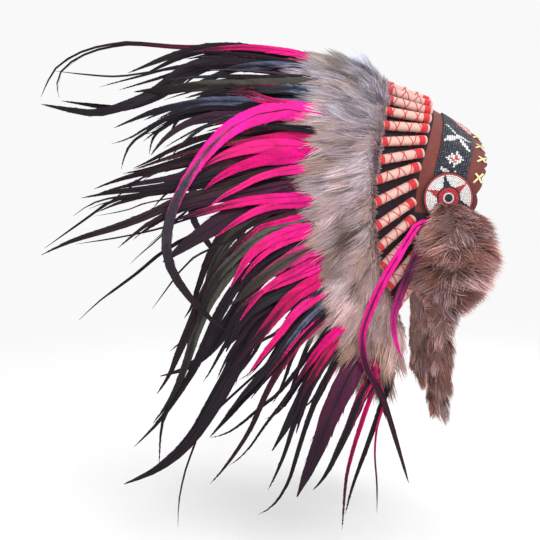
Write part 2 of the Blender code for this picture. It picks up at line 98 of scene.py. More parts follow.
ARCH_ROWS = np.array((
    (0.000, 0.000, 0.43, -21, 0, 31, 0, 0.88, 0.90, 22, 0, 1.00),
    (0.331, 0.051, 0.46, -16, 13, 29, 3, 0.92, 0.95, 25, 8, 0.99),
    (0.634, 0.133, 0.56, -6, 19, 22, 6, 1.00, 1.05, 31, 13, 0.97),
    (0.862, 0.254, 0.69, 5, 22, 12, 8, 1.10, 1.25, 40, 15, 0.96),
    (0.973, 0.396, 0.83, 19, 22, 4, 7, 1.20, 1.30, 54, 15, 0.95),
    (1.000, 0.599, 0.92, 34, 21, 0, 6, 1.25, 1.00, 66, 13, 0.92),
    (0.991, 0.795, 0.90, 44, 20, 0, 6, 1.25, 0.90, 78, 10, 0.80),
    (0.959, 1.000, 0.72, 52, 20, 0, 6, 1.25, 0.90, 93, 6, 0.64),
))
# The row before the middle is the mirrored one behind it; the last ones carry on straight.
MIRRORED = np.array([key in ("out", "flare", "inward", "tip_flare") for key in ARCH_COLUMNS])
BEFORE = np.where(MIRRORED, -ARCH_ROWS[1], ARCH_ROWS[1])
AFTER = 2 * ARCH_ROWS[-1] - ARCH_ROWS[-2]
ARCH_TABLE = np.vstack((BEFORE, ARCH_ROWS, AFTER, AFTER))

# Cream thongs over the suede's edge
LACE_WIDTH = 0.0026
LACE_THICKNESS = 0.0005
LACE_REACH = 0.0100

# The photograph's view, from the wearer's right and a little above
PICTURE = 540  # pixels a side
FOCAL = 1280  # focal length in pixels
TILT = math.radians(8)
FORWARD = np.array((math.cos(TILT), 0, -math.sin(TILT)))
UPWARD = np.array((math.sin(TILT), 0, math.cos(TILT)))
EYE = np.array((0, 0.2235, -0.18025)) - 1.6 * FORWARD  # from the middle of what is seen


def catmull_rom(a, b, c, d, t):
    """The curve from b to c that passes on smoothly from a and to d."""
    bend = 0.5 * t * t * (2 * a - 5 * b + 4 * c - d)
    return b + 0.5 * t * (c - a) + bend + 0.5 * t**3 * (3 * (b - c) + d - a)


def arch_at(station):
    spot = np.abs(station) * (len(ARCH_ROWS) - 1)
    first = np.minimum(spot.astype(int), len(ARCH_ROWS) - 1)
    rows = (ARCH_TABLE[first + step] for step in range(4))
    values = catmull_rom(*rows, (spot - first)[..., None])
    return {key: values[..., i] for i, key in enumerate(ARCH_COLUMNS)}


def backward(fall, flare):
    fall, flare = np.radians(fall), np.radians(flare)
    level = np.cos(flare)
    return np.stack((np.sin(flare), level * np.cos(fall), -level * np.sin(fall)), -1)


def sheet(station, distance):
    station, distance = np.broadcast_arrays(np.asarray(station, float), np.asarray(distance, float))
    at = arch_at(station)
    back = backward(at["fall"], at["flare"])
    front = -backward(-at["front_fall"], at["inward"])
    drop = APEX_HEIGHT - at["down"] * ARCH_DEPTH
    point = np.stack((at["out"] * HALF_WIDTH, at["back"] * SEAM_SETBACK, drop), -1)
    end = WRAP_START + WRAP_LENGTH
    straight = np.minimum(distance, end)
    ramp = (straight + np.hypot(straight, BEND_RADIUS)) / 2
    other = (-straight + np.hypot(straight, BEND_RADIUS)) / 2
    point = point + back * ramp[..., None] + front * other[..., None]
    beyond = np.maximum(distance - end, 0)
    reach = at["reach"] * FEATHER_LENGTH
    for step in range(SHEET_STEPS):
        turned = beyond * (step + 0.5) / SHEET_STEPS / reach
        fall = at["fall"] + (at["tip_fall"] - at["fall"]) * turned
        flare = at["flare"] + (at["tip_flare"] - at["flare"]) * turned
        point = point + backward(fall, flare) * (beyond / SHEET_STEPS)[..., None]
    point[..., 0] *= np.where(station < 0, -1, 1)
    return point


def unit(vectors):
    return vectors / np.maximum(np.linalg.norm(vectors, axis=-1, keepdims=True), 1e-12)


def frames(station, distance):
    """Points, unit vectors along the arch, back and out of the sheet."""
    station, distance, small = np.asarray(station, float), np.asarray(distance, float), 1e-4
    along = sheet(station + small, distance) - sheet(station - small, distance)
    back = unit(sheet(station, distance + small) - sheet(station, distance - small))
    normal = unit(np.cross(along, back))
    return sheet(station, distance), np.cross(back, normal), back, normal


def place(station, distance, height):
    point, _, _, normal = frames(station, distance)
    return point + normal * np.asarray(height)[..., None]


def pixels(points):
    seen = points - EYE
    depth = seen @ FORWARD
    return PICTURE / 2 - FOCAL * np.stack((seen[..., 1] / depth, seen @ UPWARD / depth), -1)


def at_pixel(pixel, x):
    """The points of these pixels' rays at distance x from the middle plane."""
    pixel = np.asarray(pixel, float)
    ray = FORWARD * FOCAL + UPWARD * (PICTURE / 2 - pixel[..., 1:])
    ray = ray - np.array((0, 1, 0)) * (pixel[..., :1] - PICTURE / 2)
    return EYE + ray * ((x - EYE[0]) / ray[..., 0])[..., None]


def srgb(*colour):
    value = np.asarray(colour, float) / 255
    return np.where(value <= 0.04045, value / 12.92, ((value + 0.055) / 1.055) ** 2.4)


def add_object(name, data):
    obj = bpy.data.objects.new(name, data)
    bpy.context.scene.collection.objects.link(obj)
    return obj


def build(name, points, faces, tints, material, slot, nodes=()):
    """One mesh object from arrays; faces is a list of arrays of triangles or quads."""
    points = np.asarray(points, np.float32).reshape(-1, 3)
    faces = [np.asarray(f, np.int32) for f in faces if len(f)]
    corners = np.concatenate([f.ravel() for f in faces])
    sizes = np.concatenate([np.full(len(f), f.shape[1], np.int32) for f in faces])
    starts = np.concatenate(([0], np.cumsum(sizes)[:-1])).astype(np.int32)
    mesh = bpy.data.meshes.new(name)
    mesh.vertices.add(len(points))
    mesh.vertices.foreach_set("co", points.ravel())
    mesh.loops.add(len(corners))
    mesh.loops.foreach_set("vertex_index", corners)
    mesh.polygons.add(len(sizes))
    mesh.polygons.foreach_set("loop_start", starts)
    mesh.update(calc_edges=True)
    mesh.validate()
    mesh.shade_smooth()
    if tints is not None:
        colour = np.ones((len(points), 4), np.float32)
        colour[:, :3] = np.asarray(tints).reshape(-1, 3)
        layer = mesh.color_attributes.new("tint", "FLOAT_COLOR", "POINT")
        layer.data.foreach_set("color", colour.ravel())
    mesh.materials.append(material)
    obj = add_object(name, mesh)
    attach(obj, "root")
    if nodes:
        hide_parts(*nodes)
    return obj


class Pile:
    """Points, faces and tints gathered for one mesh."""

    def __init__(self):
        self.points, self.faces, self.tints, self.count = [], [], [], 0

    def add(self, points, faces, tints):
        points = np.asarray(points, float).reshape(-1, 3)
        self.points.append(points)
        tints = np.asarray(tints, float).reshape(-1, 3)
        self.tints.append(np.broadcast_to(tints, points.shape))
        self.faces.extend(np.asarray(f, np.int64) + self.count for f in faces if len(f))
        self.count += len(points)

    def make(self, name, material, slot, nodes=()):
        points, tints = np.concatenate(self.points), np.concatenate(self.tints)
        build(name, points, self.faces, tints, material, slot, nodes)


def grid_faces(rows, columns, wrap=False):
    """Quads of a grid of points, row by row; wrap joins the last column to the first."""
    r = np.arange(rows - 1)[:, None] * columns
    c = np.arange(columns if wrap else columns - 1)[None, :]
    n = (c + 1) % columns
    return np.stack((r + c, r + n, r + columns + n, r + columns + c), -1).reshape(-1, 4)


def shell(outer, inner):
    """Points and faces round two grids of points, open before the first row and after the last."""
    rows, columns = outer.shape[:2]
    return np.concatenate((outer, inner[:, ::-1]), 1), grid_faces(rows, 2 * columns, wrap=True)


def full_turn(count):
    return 2 * math.pi * np.arange(count) / count


def spokes(turns, right, up):
    return np.cos(turns)[:, None] * right + np.sin(turns)[:, None] * up


def strips(line, across, widths, tints):
    """Flat tapered strips: line (n, k, 3), across (n, k, 3), widths (n, k) and tints (n, k, 3).

    The last point of each is its tip.
    """
    n, k = line.shape[:2]
    half = across * widths[..., None] / 2
    left, right = (line - half)[:, :-1], (line + half)[:, :-1]
    sides = np.stack((left, right), 2).reshape(n, 2 * (k - 1), 3)
    points = np.concatenate((sides, line[:, -1:]), 1)
    colour = np.concatenate((np.repeat(tints[:, :-1], 2, 1), tints[:, -1:]), 1)
    size = 2 * k - 1
    base = (np.arange(n) * size)[:, None, None]
    steps = (2 * np.arange(k - 2))[None, :, None]
    quads = (base + steps + np.array((0, 1, 3, 2))).reshape(-1, 4)
    tip = np.arange(n)[:, None] * size + np.array((size - 3, size - 2, size - 1))
    return points.reshape(-1, 3), [quads, tip], colour.reshape(-1, 3)


def smooth_path(points, count):
    """A Catmull-Rom curve through points, at evenly spaced lengths."""
    points = np.asarray(points, float)
    padded = np.vstack((2 * points[0] - points[1], points, 2 * points[-1] - points[-2]))
    t = np.linspace(0, 1, 9)[:-1][:, None]
    fours = zip(padded, padded[1:], padded[2:], padded[3:])
    fine = np.vstack((*(catmull_rom(*four, t) for four in fours), points[-1:]))
    length = np.concatenate(([0], np.cumsum(np.linalg.norm(np.diff(fine, axis=0), axis=1))))
    even = np.linspace(0, length[-1], count)
    return np.stack([np.interp(even, length, fine[:, i]) for i in range(3)], 1), length[-1]


# Materials
def shader(name, roughness, **values):
    """A material with its main nodes, and the tree to add to."""
    made = bpy.data.materials.new(name)
    made.use_nodes = True
    tree = made.node_tree
    main = tree.nodes["Principled BSDF"]
    main.inputs["Roughness"].default_value = roughness
    for key, value in values.items():
        main.inputs[key.replace("_", " ")].default_value = value
    return made, tree, main


def node(tree, kind, **values):
    made = tree.nodes.new("ShaderNode" + kind)
    for key, value in values.items():
        if key in made.inputs:
            made.inputs[key].default_value = value
        else:
            setattr(made, key, value)
    return made


def link(tree, *pairs):
    for source, target in pairs:
        tree.links.new(source, target)


def noise(tree, scale, detail):
    coords, made = node(tree, "TexCoord"), node(tree, "TexNoise", Scale=scale, Detail=detail)
    link(tree, (coords.outputs["Object"], made.inputs["Vector"]))
    return made.outputs["Fac"]


def map_range(tree, value, limits, **values):
    made = node(tree, "MapRange", **values)
    for key, limit in zip(("From Min", "From Max", "To Min", "To Max"), limits):
        made.inputs[key].default_value = limit
    link(tree, (value, made.inputs["Value"]))
    return made.outputs["Result"]


def fabric(name, roughness, scale, low, high, bumps=None, colour=None, **values):
    """A colour, or else the mesh's own tint, times noise between two greys; bumps gives a scale,
    detail, strength and distance."""
    made, tree, main = shader(name, roughness, **values)
    mix = node(tree, "Mix", data_type="RGBA", blend_type="MULTIPLY")
    mix.inputs["Factor"].default_value = 1.0
    if colour is None:
        link(tree, (node(tree, "VertexColor", layer_name="tint").outputs["Color"], mix.inputs["A"]))
    else:
        mix.inputs["A"].default_value = (*colour, 1)
    grey = map_range(tree, noise(tree, scale, 3.0), (0.3, 0.7, low, high))
    link(tree, (grey, mix.inputs["B"]), (mix.outputs["Result"], main.inputs["Base Color"]))
    if bumps:
        size, detail, strength, distance = bumps
        bump = node(tree, "Bump", Strength=strength, Distance=distance)
        height = noise(tree, size, detail)
        link(tree, (height, bump.inputs["Height"]), (bump.outputs["Normal"], main.inputs["Normal"]))
    return made


FEATHER = fabric("feather_barbs", 0.5, 260, 0.86, 1.14, Specular_IOR_Level=0.16)
FUR = fabric("fur_hair", 0.62, 420, 0.9, 1.1, Specular_IOR_Level=0.3)
BEAD = fabric("glass_beads", 0.16, 900, 0.94, 1.06, Specular_IOR_Level=0.7)
CLOTH = fabric("wrap_cloth", 0.72, 320, 0.93, 1.05, (900, 4.0, 0.25, 0.0004), Sheen_Weight=0.2)
SUEDE = fabric("suede", 0.9, 140, 0.86, 1.1, (1400, 6.0, 0.35, 0.0005), Sheen_Weight=0.12)
FELT = fabric("black_felt", 0.95, 120, 0.75, 1.25, (1500, 6.0, 0.6, 0.0006), srgb(44, 34, 42))
LACE = fabric("cream_lacing", 0.6, 300, 0.85, 1.05, (1200, 6.0, 0.3, 0.0003), srgb(236, 224, 168))


# Felt and suede
def sheet_wall(name, stations, shares, distances, wall, material, slot, node_name, tint=None):
    """A wall inside the sheet with a closed rim; distances(stations, shares) gives its grid."""
    s, c = np.meshgrid(stations, shares, indexing="ij")
    d = distances(s, c)
    ring, sides = shell(place(s, d, 0), place(s, d, -wall))
    faces = [sides]
    rows, columns = s.shape
    ends = np.arange(2 * columns)
    for row in (0, rows - 1):
        left, right = ends[:columns] + row * 2 * columns, ends[::-1][:columns] + row * 2 * columns
        quads = np.stack((left[:-1], left[1:], right[1:], right[:-1]), 1)
        faces.append(quads if row == 0 else quads[:, ::-1])
    shades = None
    if tint:
        shades = np.concatenate((tint(c), tint(c)[:, ::-1]), 1)
    obj = build(name, ring, faces, shades, material, slot, [node_name])
    obj.data.set_sharp_from_angle(angle=math.radians(50))


def band_rear(station):
    return -arch_at(station)["strip"] * SUEDE_STRIP


def band_front(station):
    return band_rear(station) - BAND_WIDTH


def suede_front(station):
    margin = arch_at(station)["margin"] * SUEDE_MARGIN
    wave = np.abs(np.sin(math.pi * SCALLOPS * np.abs(station) / SUEDE_END))
    return band_front(station) - margin - SCALLOP_DEPTH * (wave - 0.6)


def make_suede():
    rear = -WRAP_START / 2 - PIECE_GAP
    end = SUEDE_END - FLAP_SLOT / 2
    light, dark = srgb(122, 60, 54), srgb(102, 50, 48)

    def distances(s, c):
        front = suede_front(s)
        return front + (rear - front) * c

    def tint(c):
        return light + (dark - light) * np.clip(1 - c / 0.30, 0, 1)[..., None] * 0.8

    grid = np.linspace(-end, end, 361), np.linspace(0, 1, 17)
    sheet_wall("suede_headband", *grid, distances, SUEDE_WALL, SUEDE, "suede", "suede_band", tint)


def make_felt():
    def distances(s, c):
        front = np.where(np.abs(s) > SUEDE_END + FLAP_SLOT / 2, -FELT_FLAP, -WRAP_START / 2)
        return front + (FELT_REACH - front) * c

    sides = np.linspace(SUEDE_END + FLAP_SLOT, FELT_END, 40)
    stations = np.concatenate((-sides[::-1], np.linspace(-SUEDE_END, SUEDE_END, 161), sides))
    grid = stations, np.linspace(0, 1, 13)
    sheet_wall("felt_arch", *grid, distances, FELT_WALL, FELT, "black_felt", "felt_backing")


def make_lacing():
    """Two thongs crossed over the edge at every second valley between scallops."""
    pile = Pile()
    t = np.linspace(0, 1, 9)
    outline = ((-1, 0), (-0.7, 0.6), (0.7, 0.6), (1, 0), (0.7, -0.5), (-0.7, -0.5))
    caps = np.array([[0, 1, 2, 3], [0, 3, 4, 5]])
    size = len(t), len(outline)
    faces = [grid_faces(*size, wrap=True), caps, caps + (size[0] - 1) * size[1]]
    pitch = SUEDE_END / SCALLOPS
    for i in range(-SCALLOPS + 2, SCALLOPS, 2):
        station = SUEDE_END * i / SCALLOPS
        for lean in (-1, 1):
            s = station + lean * pitch * 0.34 * (t - 0.5) * 2
            d = suede_front(np.full_like(s, station)) - 0.0012 + LACE_REACH * t
            height = 0.0006 + 0.0012 * np.sin(math.pi * t) + (0.0006 if lean > 0 else 0)
            point, _, _, normal = frames(s, d)
            line = point + normal * height[:, None]
            across = unit(np.cross(unit(np.gradient(line, axis=0)), normal))
            half, thick = LACE_WIDTH / 2, LACE_THICKNESS
            ring = np.stack([line + across * half * a + normal * thick * b for a, b in outline], 1)
            pile.add(ring, faces, (1, 1, 1))
    pile.make("cream_lacing", LACE, "suede")


# Beads
BEAD_POINTS = 20


def bead_ring(centres, axis, side, up, radius, length, tints):
    """A seed bead at each centre: a rounded half barrel whose hole runs along axis."""
    out = []
    for along, size in ((-0.5, 0.62), (-0.22, 1.0), (0.22, 1.0), (0.5, 0.62)):
        for turn in np.radians((-20, 35, 90, 145, 200)):
            offset = (side * math.cos(turn) + up * math.sin(turn)) * radius * size
            out.append(centres + axis * (along * length) + offset)
    starts = np.arange(len(centres))[:, None, None] * BEAD_POINTS
    faces = (starts + grid_faces(4, 5)).reshape(-1, 4)
    return np.stack(out, 1).reshape(-1, 3), [faces], np.repeat(tints, BEAD_POINTS, 0)


BEAD_COLOURS = {".": srgb(27, 31, 48), "w": srgb(236, 234, 232), "r": srgb(196, 44, 52)}
COLUMNS = 14
ROW_PITCH = 0.0020
# Charts for one half of the band: strokes of beads between two places, each given in
# millimetres from the forehead's middle and from the edge at the wraps, with a width.
STROKES = (
    # colour, from along, across, to along, across, width
    ("w", 35.0, 5.5, 41.0, 12.5, 2.6),
    ("w", 41.0, 12.5, 48.0, 18.5, 2.8),
    ("w", 48.5, 19.0, 48.5, 27.0, 4.4),
    ("w", 48.5, 27.0, 51.5, 34.5, 3.2),
    ("w", 64.0, 4.5, 60.0, 9.0, 4.2),
    ("w", 60.0, 9.0, 55.0, 15.0, 7.2),
    ("w", 55.0, 15.0, 50.0, 20.5, 4.0),
    ("w", 52.0, 22.0, 56.0, 25.0, 3.2),
    ("w", 56.0, 25.0, 64.0, 31.5, 5.6),
    ("w", 65.0, 32.0, 70.0, 35.0, 4.0),
    ("w", 87.0, 11.0, 87.0, 30.0, 3.2),
    ("w", 77.5, 20.5, 96.5, 20.5, 3.2),
    ("w", 82.5, 16.0, 91.5, 25.0, 5.0),
    ("w", 91.5, 16.0, 82.5, 25.0, 5.0),
    ("w", 87.0, 15.0, 87.0, 26.0, 8.0),
    ("r", 83.4, 20.4, 83.4, 20.6, 3.0),
    ("r", 90.8, 20.4, 90.8, 20.6, 3.0),
    ("r", 87.0, 15.8, 87.0, 16.0, 2.9),
    ("r", 87.0, 24.9, 87.0, 25.1, 2.9),
    ("r", 85.0, 22.9, 89.2, 18.0, 2.1),
    ("w", 100.5, 7.0, 104.0, 13.0, 3.2),
    ("w", 101.0, 13.8, 104.5, 14.2, 3.6),
    ("w", 99.5, 26.0, 103.5, 25.0, 2.4),
)
# The figure over the forehead: each step of the red and white triangle, as millimetres along and
# the least distance across.
TRIANGLE = ((3, 8.5), (7, 11.4), (11, 14.3), (15, 17.2), (19, 20.0), (23, 25.7), (27, 31.4))


def browband_chart(rows):
    size = np.array((ROW_PITCH, BAND_WIDTH / COLUMNS))
    r, c = np.meshgrid(np.arange(rows) + 0.5, np.arange(COLUMNS) + 0.5, indexing="ij")
    cell = np.stack((r, c), -1) * size * 1000
    chart = np.full((rows, COLUMNS), ".")
    for along, least in TRIANGLE[::-1]:
        chart[(cell[..., 0] < along) & (cell[..., 1] > least)] = "r"
        chart[(cell[..., 0] < along - 2) & (cell[..., 1] > least + 2.9)] = "w"
    red = (cell[..., 0] < 6) & (np.abs(cell[..., 1] - 21 - cell[..., 0]) < 1.6)
    chart[red | ((cell[..., 0] < 10) & (np.abs(cell[..., 1] - 33 + cell[..., 0]) < 1.6))] = "r"
    for colour, r0, c0, r1, c1, width in STROKES:
        start, line = np.array((r0, c0)), np.array((r1 - r0, c1 - c0))
        share = np.clip(((cell - start) @ line) / (line @ line), 0, 1)
        off = np.linalg.norm(cell - start - share[..., None] * line, axis=-1)
        chart[off < width / 2] = colour
    return chart


def make_browband():
    fine = np.linspace(0, BAND_END, 400)
    middle = sheet(fine, band_rear(fine) - BAND_WIDTH / 2)
    length = np.concatenate(([0], np.cumsum(np.linalg.norm(np.diff(middle, axis=0), axis=1))))
    rows = int(length[-1] / ROW_PITCH)
    chart = browband_chart(rows)
    pile = Pile()
    for side in (-1, 1):
        index = np.arange(rows) if side > 0 else np.arange(1, rows)
        stations = side * np.interp((index + 0.5 * (side > 0)) * length[-1] / rows, length, fine)
        s = np.repeat(stations, COLUMNS)
        c = np.tile(np.arange(COLUMNS), len(stations))
        d = band_rear(s) - BAND_WIDTH * (c + 0.5) / COLUMNS
        point, along, back, normal = frames(s, d)
        jitter = rng.normal(0, 0.00006, (len(s), 1))
        centre = point + normal * (PIECE_GAP * 2 + BAND_WALL * 0.35 + jitter) + along * jitter
        tints = np.array([BEAD_COLOURS[k] for k in chart[np.repeat(index, COLUMNS), c]])
        dark = tints.sum(1, keepdims=True) < 0.3
        # dark beads vary in tone at random, and about one in eight gets a painted glint at 2.6 times
        # its colour
        bead_tone_and_painted_glints = rng.choice((0.55, 0.85, 1.15, 2.6), (len(s), 1), p=(0.3, 0.3, 0.28, 0.12))
        tints = tints * np.where(dark, bead_tone_and_painted_glints, rng.uniform(0.84, 1.04, (len(s), 1)))
        heading = unit(np.cross(back, normal))
        size = ROW_PITCH * 0.56, BAND_WIDTH / COLUMNS * 0.94
        points, faces, shades = bead_ring(centre, -back, heading, normal, *size, tints)
        shades = shades.reshape(len(s), BEAD_POINTS, 3)
        # painted highlight: a pale colour on the upper middle points of about a third of the dark
        # beads
        painted_highlight_beads = np.where(dark[:, 0] & (rng.random(len(s)) < 0.35))[0]
        painted_highlight_colour = srgb(132, 140, 156) * rng.uniform(0.1, 0.6, (len(painted_highlight_beads), 1, 1))
        shades[painted_highlight_beads[:, None], (7, 12)] = painted_highlight_colour  # the upper points in the middle of a bead
        pile.add(points, faces, shades)
    pile.make("browband_beads", BEAD, "seed_beads")
    s, c = np.meshgrid(np.linspace(-BAND_END, BAND_END, 181), np.linspace(0, 1, 9), indexing="ij")
    d = band_rear(s) - BAND_WIDTH * c
    low = PIECE_GAP * 2
    high = low + BAND_WALL * 0.45
    ring, faces = shell(place(s, d, high), place(s, d, low))
    build("browband_backing", ring, [faces], None, FELT, "seed_beads", ["beaded_browband"])


def rosette_frame(side):
    station = side * ROSETTE_STATION
    middle = float((band_front(np.array(station)) + band_rear(np.array(station))) / 2)
    point, along, back, normal = frames(station, middle)
    rim = full_turn(12)
    share = side * ROSETTE_RADIUS * np.cos(rim) / (HALF_WIDTH + ARCH_DEPTH)
    others = sheet(station + share, middle + ROSETTE_RADIUS * np.sin(rim))
    highest = max(0.0, float(((others - point) @ normal).max()))
    return point + normal * (highest + PIECE_GAP * 4 + BAND_WALL), along, back, normal


# Points of the star, in degrees
SPIKES = ((39, "r"), (101, "."), (159, "r"), (217, "."), (276, "r"), (336, "."))
# The felt disc under the beads: share of its radius, share of its height
DISC = ((0.0, 1.0), (0.90, 0.80), (0.965, 0.62), (1.0, 0.35), (1.0, 0.0), (0.0, 0.0))
SIDES = ((-1, "right"), (1, "left"))


def rosette_code(radius, turns):
    """Colours of the beads of one ring."""
    code = np.full(len(turns), "w")
    if radius < 0.0040 or 0.0113 < radius < 0.0136:
        code[:] = "."
    elif 0.0068 < radius < 0.0120 or radius > 0.0278:
        code[:] = "r"
    elif radius > 0.0136:
        share = (radius - 0.0132) / (0.0290 - 0.0132)
        for angle, spike in SPIKES:
            width = (0.0088 * (1 - share) ** 1.4 + 0.0008) / 2
            off = np.abs((np.degrees(turns) - angle + 180) % 360 - 180)
            code[np.radians(off) * radius < width] = spike
    return code


def make_rosettes():
    pitch = 0.00188
    rims = full_turn(72)
    for side, name in SIDES:
        point, along, back, normal = rosette_frame(side)
        right, up = -back, -along * side
        pile = Pile()
        for ring in range(1, 16):
            radius = pitch * ring
            count = max(5, int(2 * math.pi * radius / 0.00172))
            turns = 2 * math.pi * (np.arange(count) + rng.uniform()) / count
            tints = np.array([BEAD_COLOURS[k] for k in rosette_code(radius, turns)])
            tints = tints * rng.uniform(0.82, 1.12, (count, 1))
            radial = spokes(turns, right, up)
            crown = ROSETTE_WALL * (0.86 - 0.3 * (radius / ROSETTE_RADIUS) ** 4)
            centre = point + radial * radius + normal * (crown - 0.0006)
            size = pitch * 0.54, 2 * math.pi * radius / count * 0.95
            pile.add(*bead_ring(centre, np.cross(radial, normal), radial, normal, *size, tints))
        pile.make("rosette_beads_" + name, BEAD, "rosette_beads")
        rings = []
        for share, high in DISC:
            wave = 1 + 0.006 * np.sin(rims * 23)[:, None] * (share > 0.95)
            spoke = spokes(rims, right, up) * ROSETTE_RADIUS * share * wave
            rings.append(point + spoke + normal * ROSETTE_WALL * 0.8 * high)
        faces = [grid_faces(len(DISC), len(rims), wrap=True)]
        looks = None, FELT, "rosette_beads", ["rosette_" + name]
        felt = build("rosette_felt_" + name, np.array(rings), faces, *looks)
        felt.data.set_sharp_from_angle(angle=math.radians(45))


# Quill wraps
def wrap_axes(station):
    point, along, _, _ = frames(station, WRAP_START)
    back = unit(sheet(station, WRAP_START + WRAP_LENGTH) - point)
    normal = unit(np.cross(along, back))
    along = np.cross(back, normal)
    return point + normal * (WRAP_RADIUS + WRAP_TIE_RAISE + WRAP_SEAT), along, back, normal


WRAP_PROFILE = (
    # along, radius, tint; the shade tint is painted shade at both ends of the wrap
    (0.000, 0.00, "shade"), (0.000, 0.70, "shade"), (0.012, 0.93, "cloth"), (0.032, 1.00, "cloth"),
    (0.058, 1.00, "cloth"), (0.060, 1.05, "tie"), (0.085, 1.07, "tie"), (0.125, 1.05, "tie"),
    (0.165, 1.07, "tie"), (0.190, 1.04, "tie"), (0.193, 0.99, "cloth"), (0.32, 1.0, "cloth"),
    (0.46, 0.99, "cloth"), (0.60, 1.0, "cloth"), (0.74, 0.99, "cloth"), (0.877, 0.99, "cloth"),
    (0.880, 1.04, "tie"), (0.930, 1.06, "tie"), (0.985, 1.04, "tie"), (0.988, 0.98, "cloth"),
    (1.000, 0.90, "cloth"), (1.000, 0.00, "shade"),
)
THREAD_TURNS = 2.6
THREAD_RADIUS = 0.00052
# shade is painted shade for the wrap's ends; cloth and tie are the wrap's own colours
WRAP_TINTS = {"cloth": srgb(220, 178, 166), "shade": srgb(176, 124, 116), "tie": srgb(206, 30, 44)}


def make_wraps():
    pile = Pile()
    sides, steps = 20, 46
    turns, t = full_turn(sides), np.linspace(0, 1, steps)
    count = WRAPS_A_SIDE
    for index in range(-count, count + 1):
        base, along, back, normal = wrap_axes(index / count)
        wobble = 1 + 0.012 * np.sin(turns * 3 + index) + 0.008 * np.sin(turns * 5 + 2 * index)
        round_it = spokes(turns, along, normal)
        rings, tints = [], []
        warm = rng.uniform(0.93, 1.05)
        for share, radius, tint in WRAP_PROFILE:
            out = round_it * (WRAP_RADIUS * radius * wobble)[:, None]
            rings.append(base + back * WRAP_LENGTH * share + out)
            tints.append(np.tile(WRAP_TINTS[tint] * (warm if tint == "cloth" else 1), (sides, 1)))
        pile.add(np.array(rings), [grid_faces(len(rings), sides, wrap=True)], np.array(tints))
        start = rng.uniform(0, 6.28)
        for hand in (-1, 1):
            spoke = spokes(start + hand * (2 * math.pi * THREAD_TURNS * t), along, normal)
            radius = WRAP_RADIUS * 1.01 + 0.0002 + (0.00025 if hand > 0 else 0)
            line = base + back * (WRAP_LENGTH * (0.19 + 0.70 * t))[:, None] + spoke * radius
            side = unit(np.cross(unit(np.gradient(line, axis=0)), spoke))
            square = ((-1, 0), (0, 1), (1, 0), (0, -1))
            ring = np.stack([line + (side * a + spoke * b) * THREAD_RADIUS for a, b in square], 1)
            pile.add(ring, [grid_faces(steps, 4, wrap=True)], WRAP_TINTS["tie"])
    nodes = ["quill_wrap_centre"]
    for i in range(1, count + 1):
        nodes += [f"quill_wrap_right_{i:02d}", f"quill_wrap_left_{i:02d}"]
    pile.make("quill_wraps", CLOTH, "wrap_cloth", nodes)


# Feathers
KINDS = {
    # edge colours at the root and further on, colours of the dark middle stripe half way and at
    # the tip, shaft, then where the stripe starts and where it fills the width
    "hot": ((246, 8, 150), (212, 8, 106), (58, 24, 42), (30, 17, 26), (170, 12, 92), 0.60, 1.00),
    "rose": ((232, 10, 116), (176, 10, 82), (58, 22, 38), (34, 18, 27), (110, 12, 60), 0.52, 0.92),
    "crimson": ((182, 14, 84), (134, 14, 66), (44, 21, 33), (25, 16, 22), (70, 14, 42), 0.30, 0.72),
    "plum": ((84, 20, 58), (72, 18, 52), (54, 20, 42), (38, 19, 33), (34, 14, 30), 0.20, 0.95),
    "wine": ((112, 16, 52), (76, 16, 42), (48, 20, 32), (34, 17, 26), (28, 12, 24), 0.12, 0.66),
    "ink": ((44, 29, 47), (36, 24, 40), (32, 20, 32), (23, 15, 23), (14, 10, 16), 0.00, 0.50),
    "slate": ((106, 114, 142), (80, 84, 110), (36, 32, 46), (25, 22, 32), (34, 32, 44), 0.45, 0.85),
    "teal": ((128, 158, 172), (88, 102, 126), (42, 40, 56), (28, 26, 36), (40, 44, 58), 0.40, 0.90),
    "olive": ((84, 82, 76), (72, 70, 63), (40, 36, 35), (28, 24, 25), (34, 30, 30), 0.50, 0.95),
    "brown": ((68, 44, 46), (58, 36, 40), (46, 27, 33), (33, 19, 25), (24, 15, 18), 0.20, 0.70),
    "fuchsia": ((246, 8, 148), (222, 8, 116), (84, 24, 50), (40, 20, 32), (196, 14, 104), 0.74, 1.2),
    "moss": ((244, 12, 150), (222, 12, 122), (66, 60, 52), (44, 38, 34), (40, 34, 30), -0.10, 1.00),
    # hero: its middle dark colour is partly the feather's near-black and partly painted blue-grey
    # sheen
    "hero": ((250, 10, 152), (250, 14, 156), (66, 58, 72), (34, 22, 28), (60, 30, 44), 0.33, 0.74),
    "edge": ((222, 10, 112), (190, 10, 92), (30, 20, 31), (20, 15, 21), (16, 10, 15), -0.10, 0.86),
    "strand": ((240, 14, 146), (216, 16, 128), (50, 24, 42), (38, 24, 34), (90, 14, 56), 0.2, 0.74),
    "berry": ((124, 18, 78), (112, 18, 72), (74, 20, 54), (226, 40, 150), (52, 16, 40), 0.00, 0.60),
}
DEFAULT_PROFILE = ((0, 0.1, 0.25, 0.5, 0.7, 0.88, 1), (0.5, 0.85, 1.0, 0.92, 0.72, 0.42, 0.04))
PROFILES = {
    "thin": ((0, 0.6, 0.9, 1), (1, 0.9, 0.6, 0.1)),
    "hero": (
        (0, 0.15, 0.25, 0.34, 0.47, 0.55, 0.62, 0.74, 0.85, 0.95, 1),
        (0.6, 1, 0.92, 0.78, 0.60, 0.48, 0.42, 0.42, 0.34, 0.22, 0.03),
    ),
    "strand": ((0, 0.05, 0.25, 0.5, 0.8, 0.95, 1), (0.3, 0.8, 1.0, 0.86, 0.62, 0.35, 0.05)),
    "berry": ((0, 0.05, 0.3, 0.6, 0.8, 0.93, 1), (0.3, 0.7, 0.95, 1.0, 0.66, 0.4, 0.05)),
}
NARROW = 0.0046  # feathers below this width have no strips for their barbs
PIXEL_WIDTH = 0.00130  # width of a feather for each pixel on the chart
BARB_STEP = 0.0050  # length of shaft for each barb
LINE_POINTS, UNDER_POINTS = 26, 22  # points of a shaft, on the chart and of the under feathers
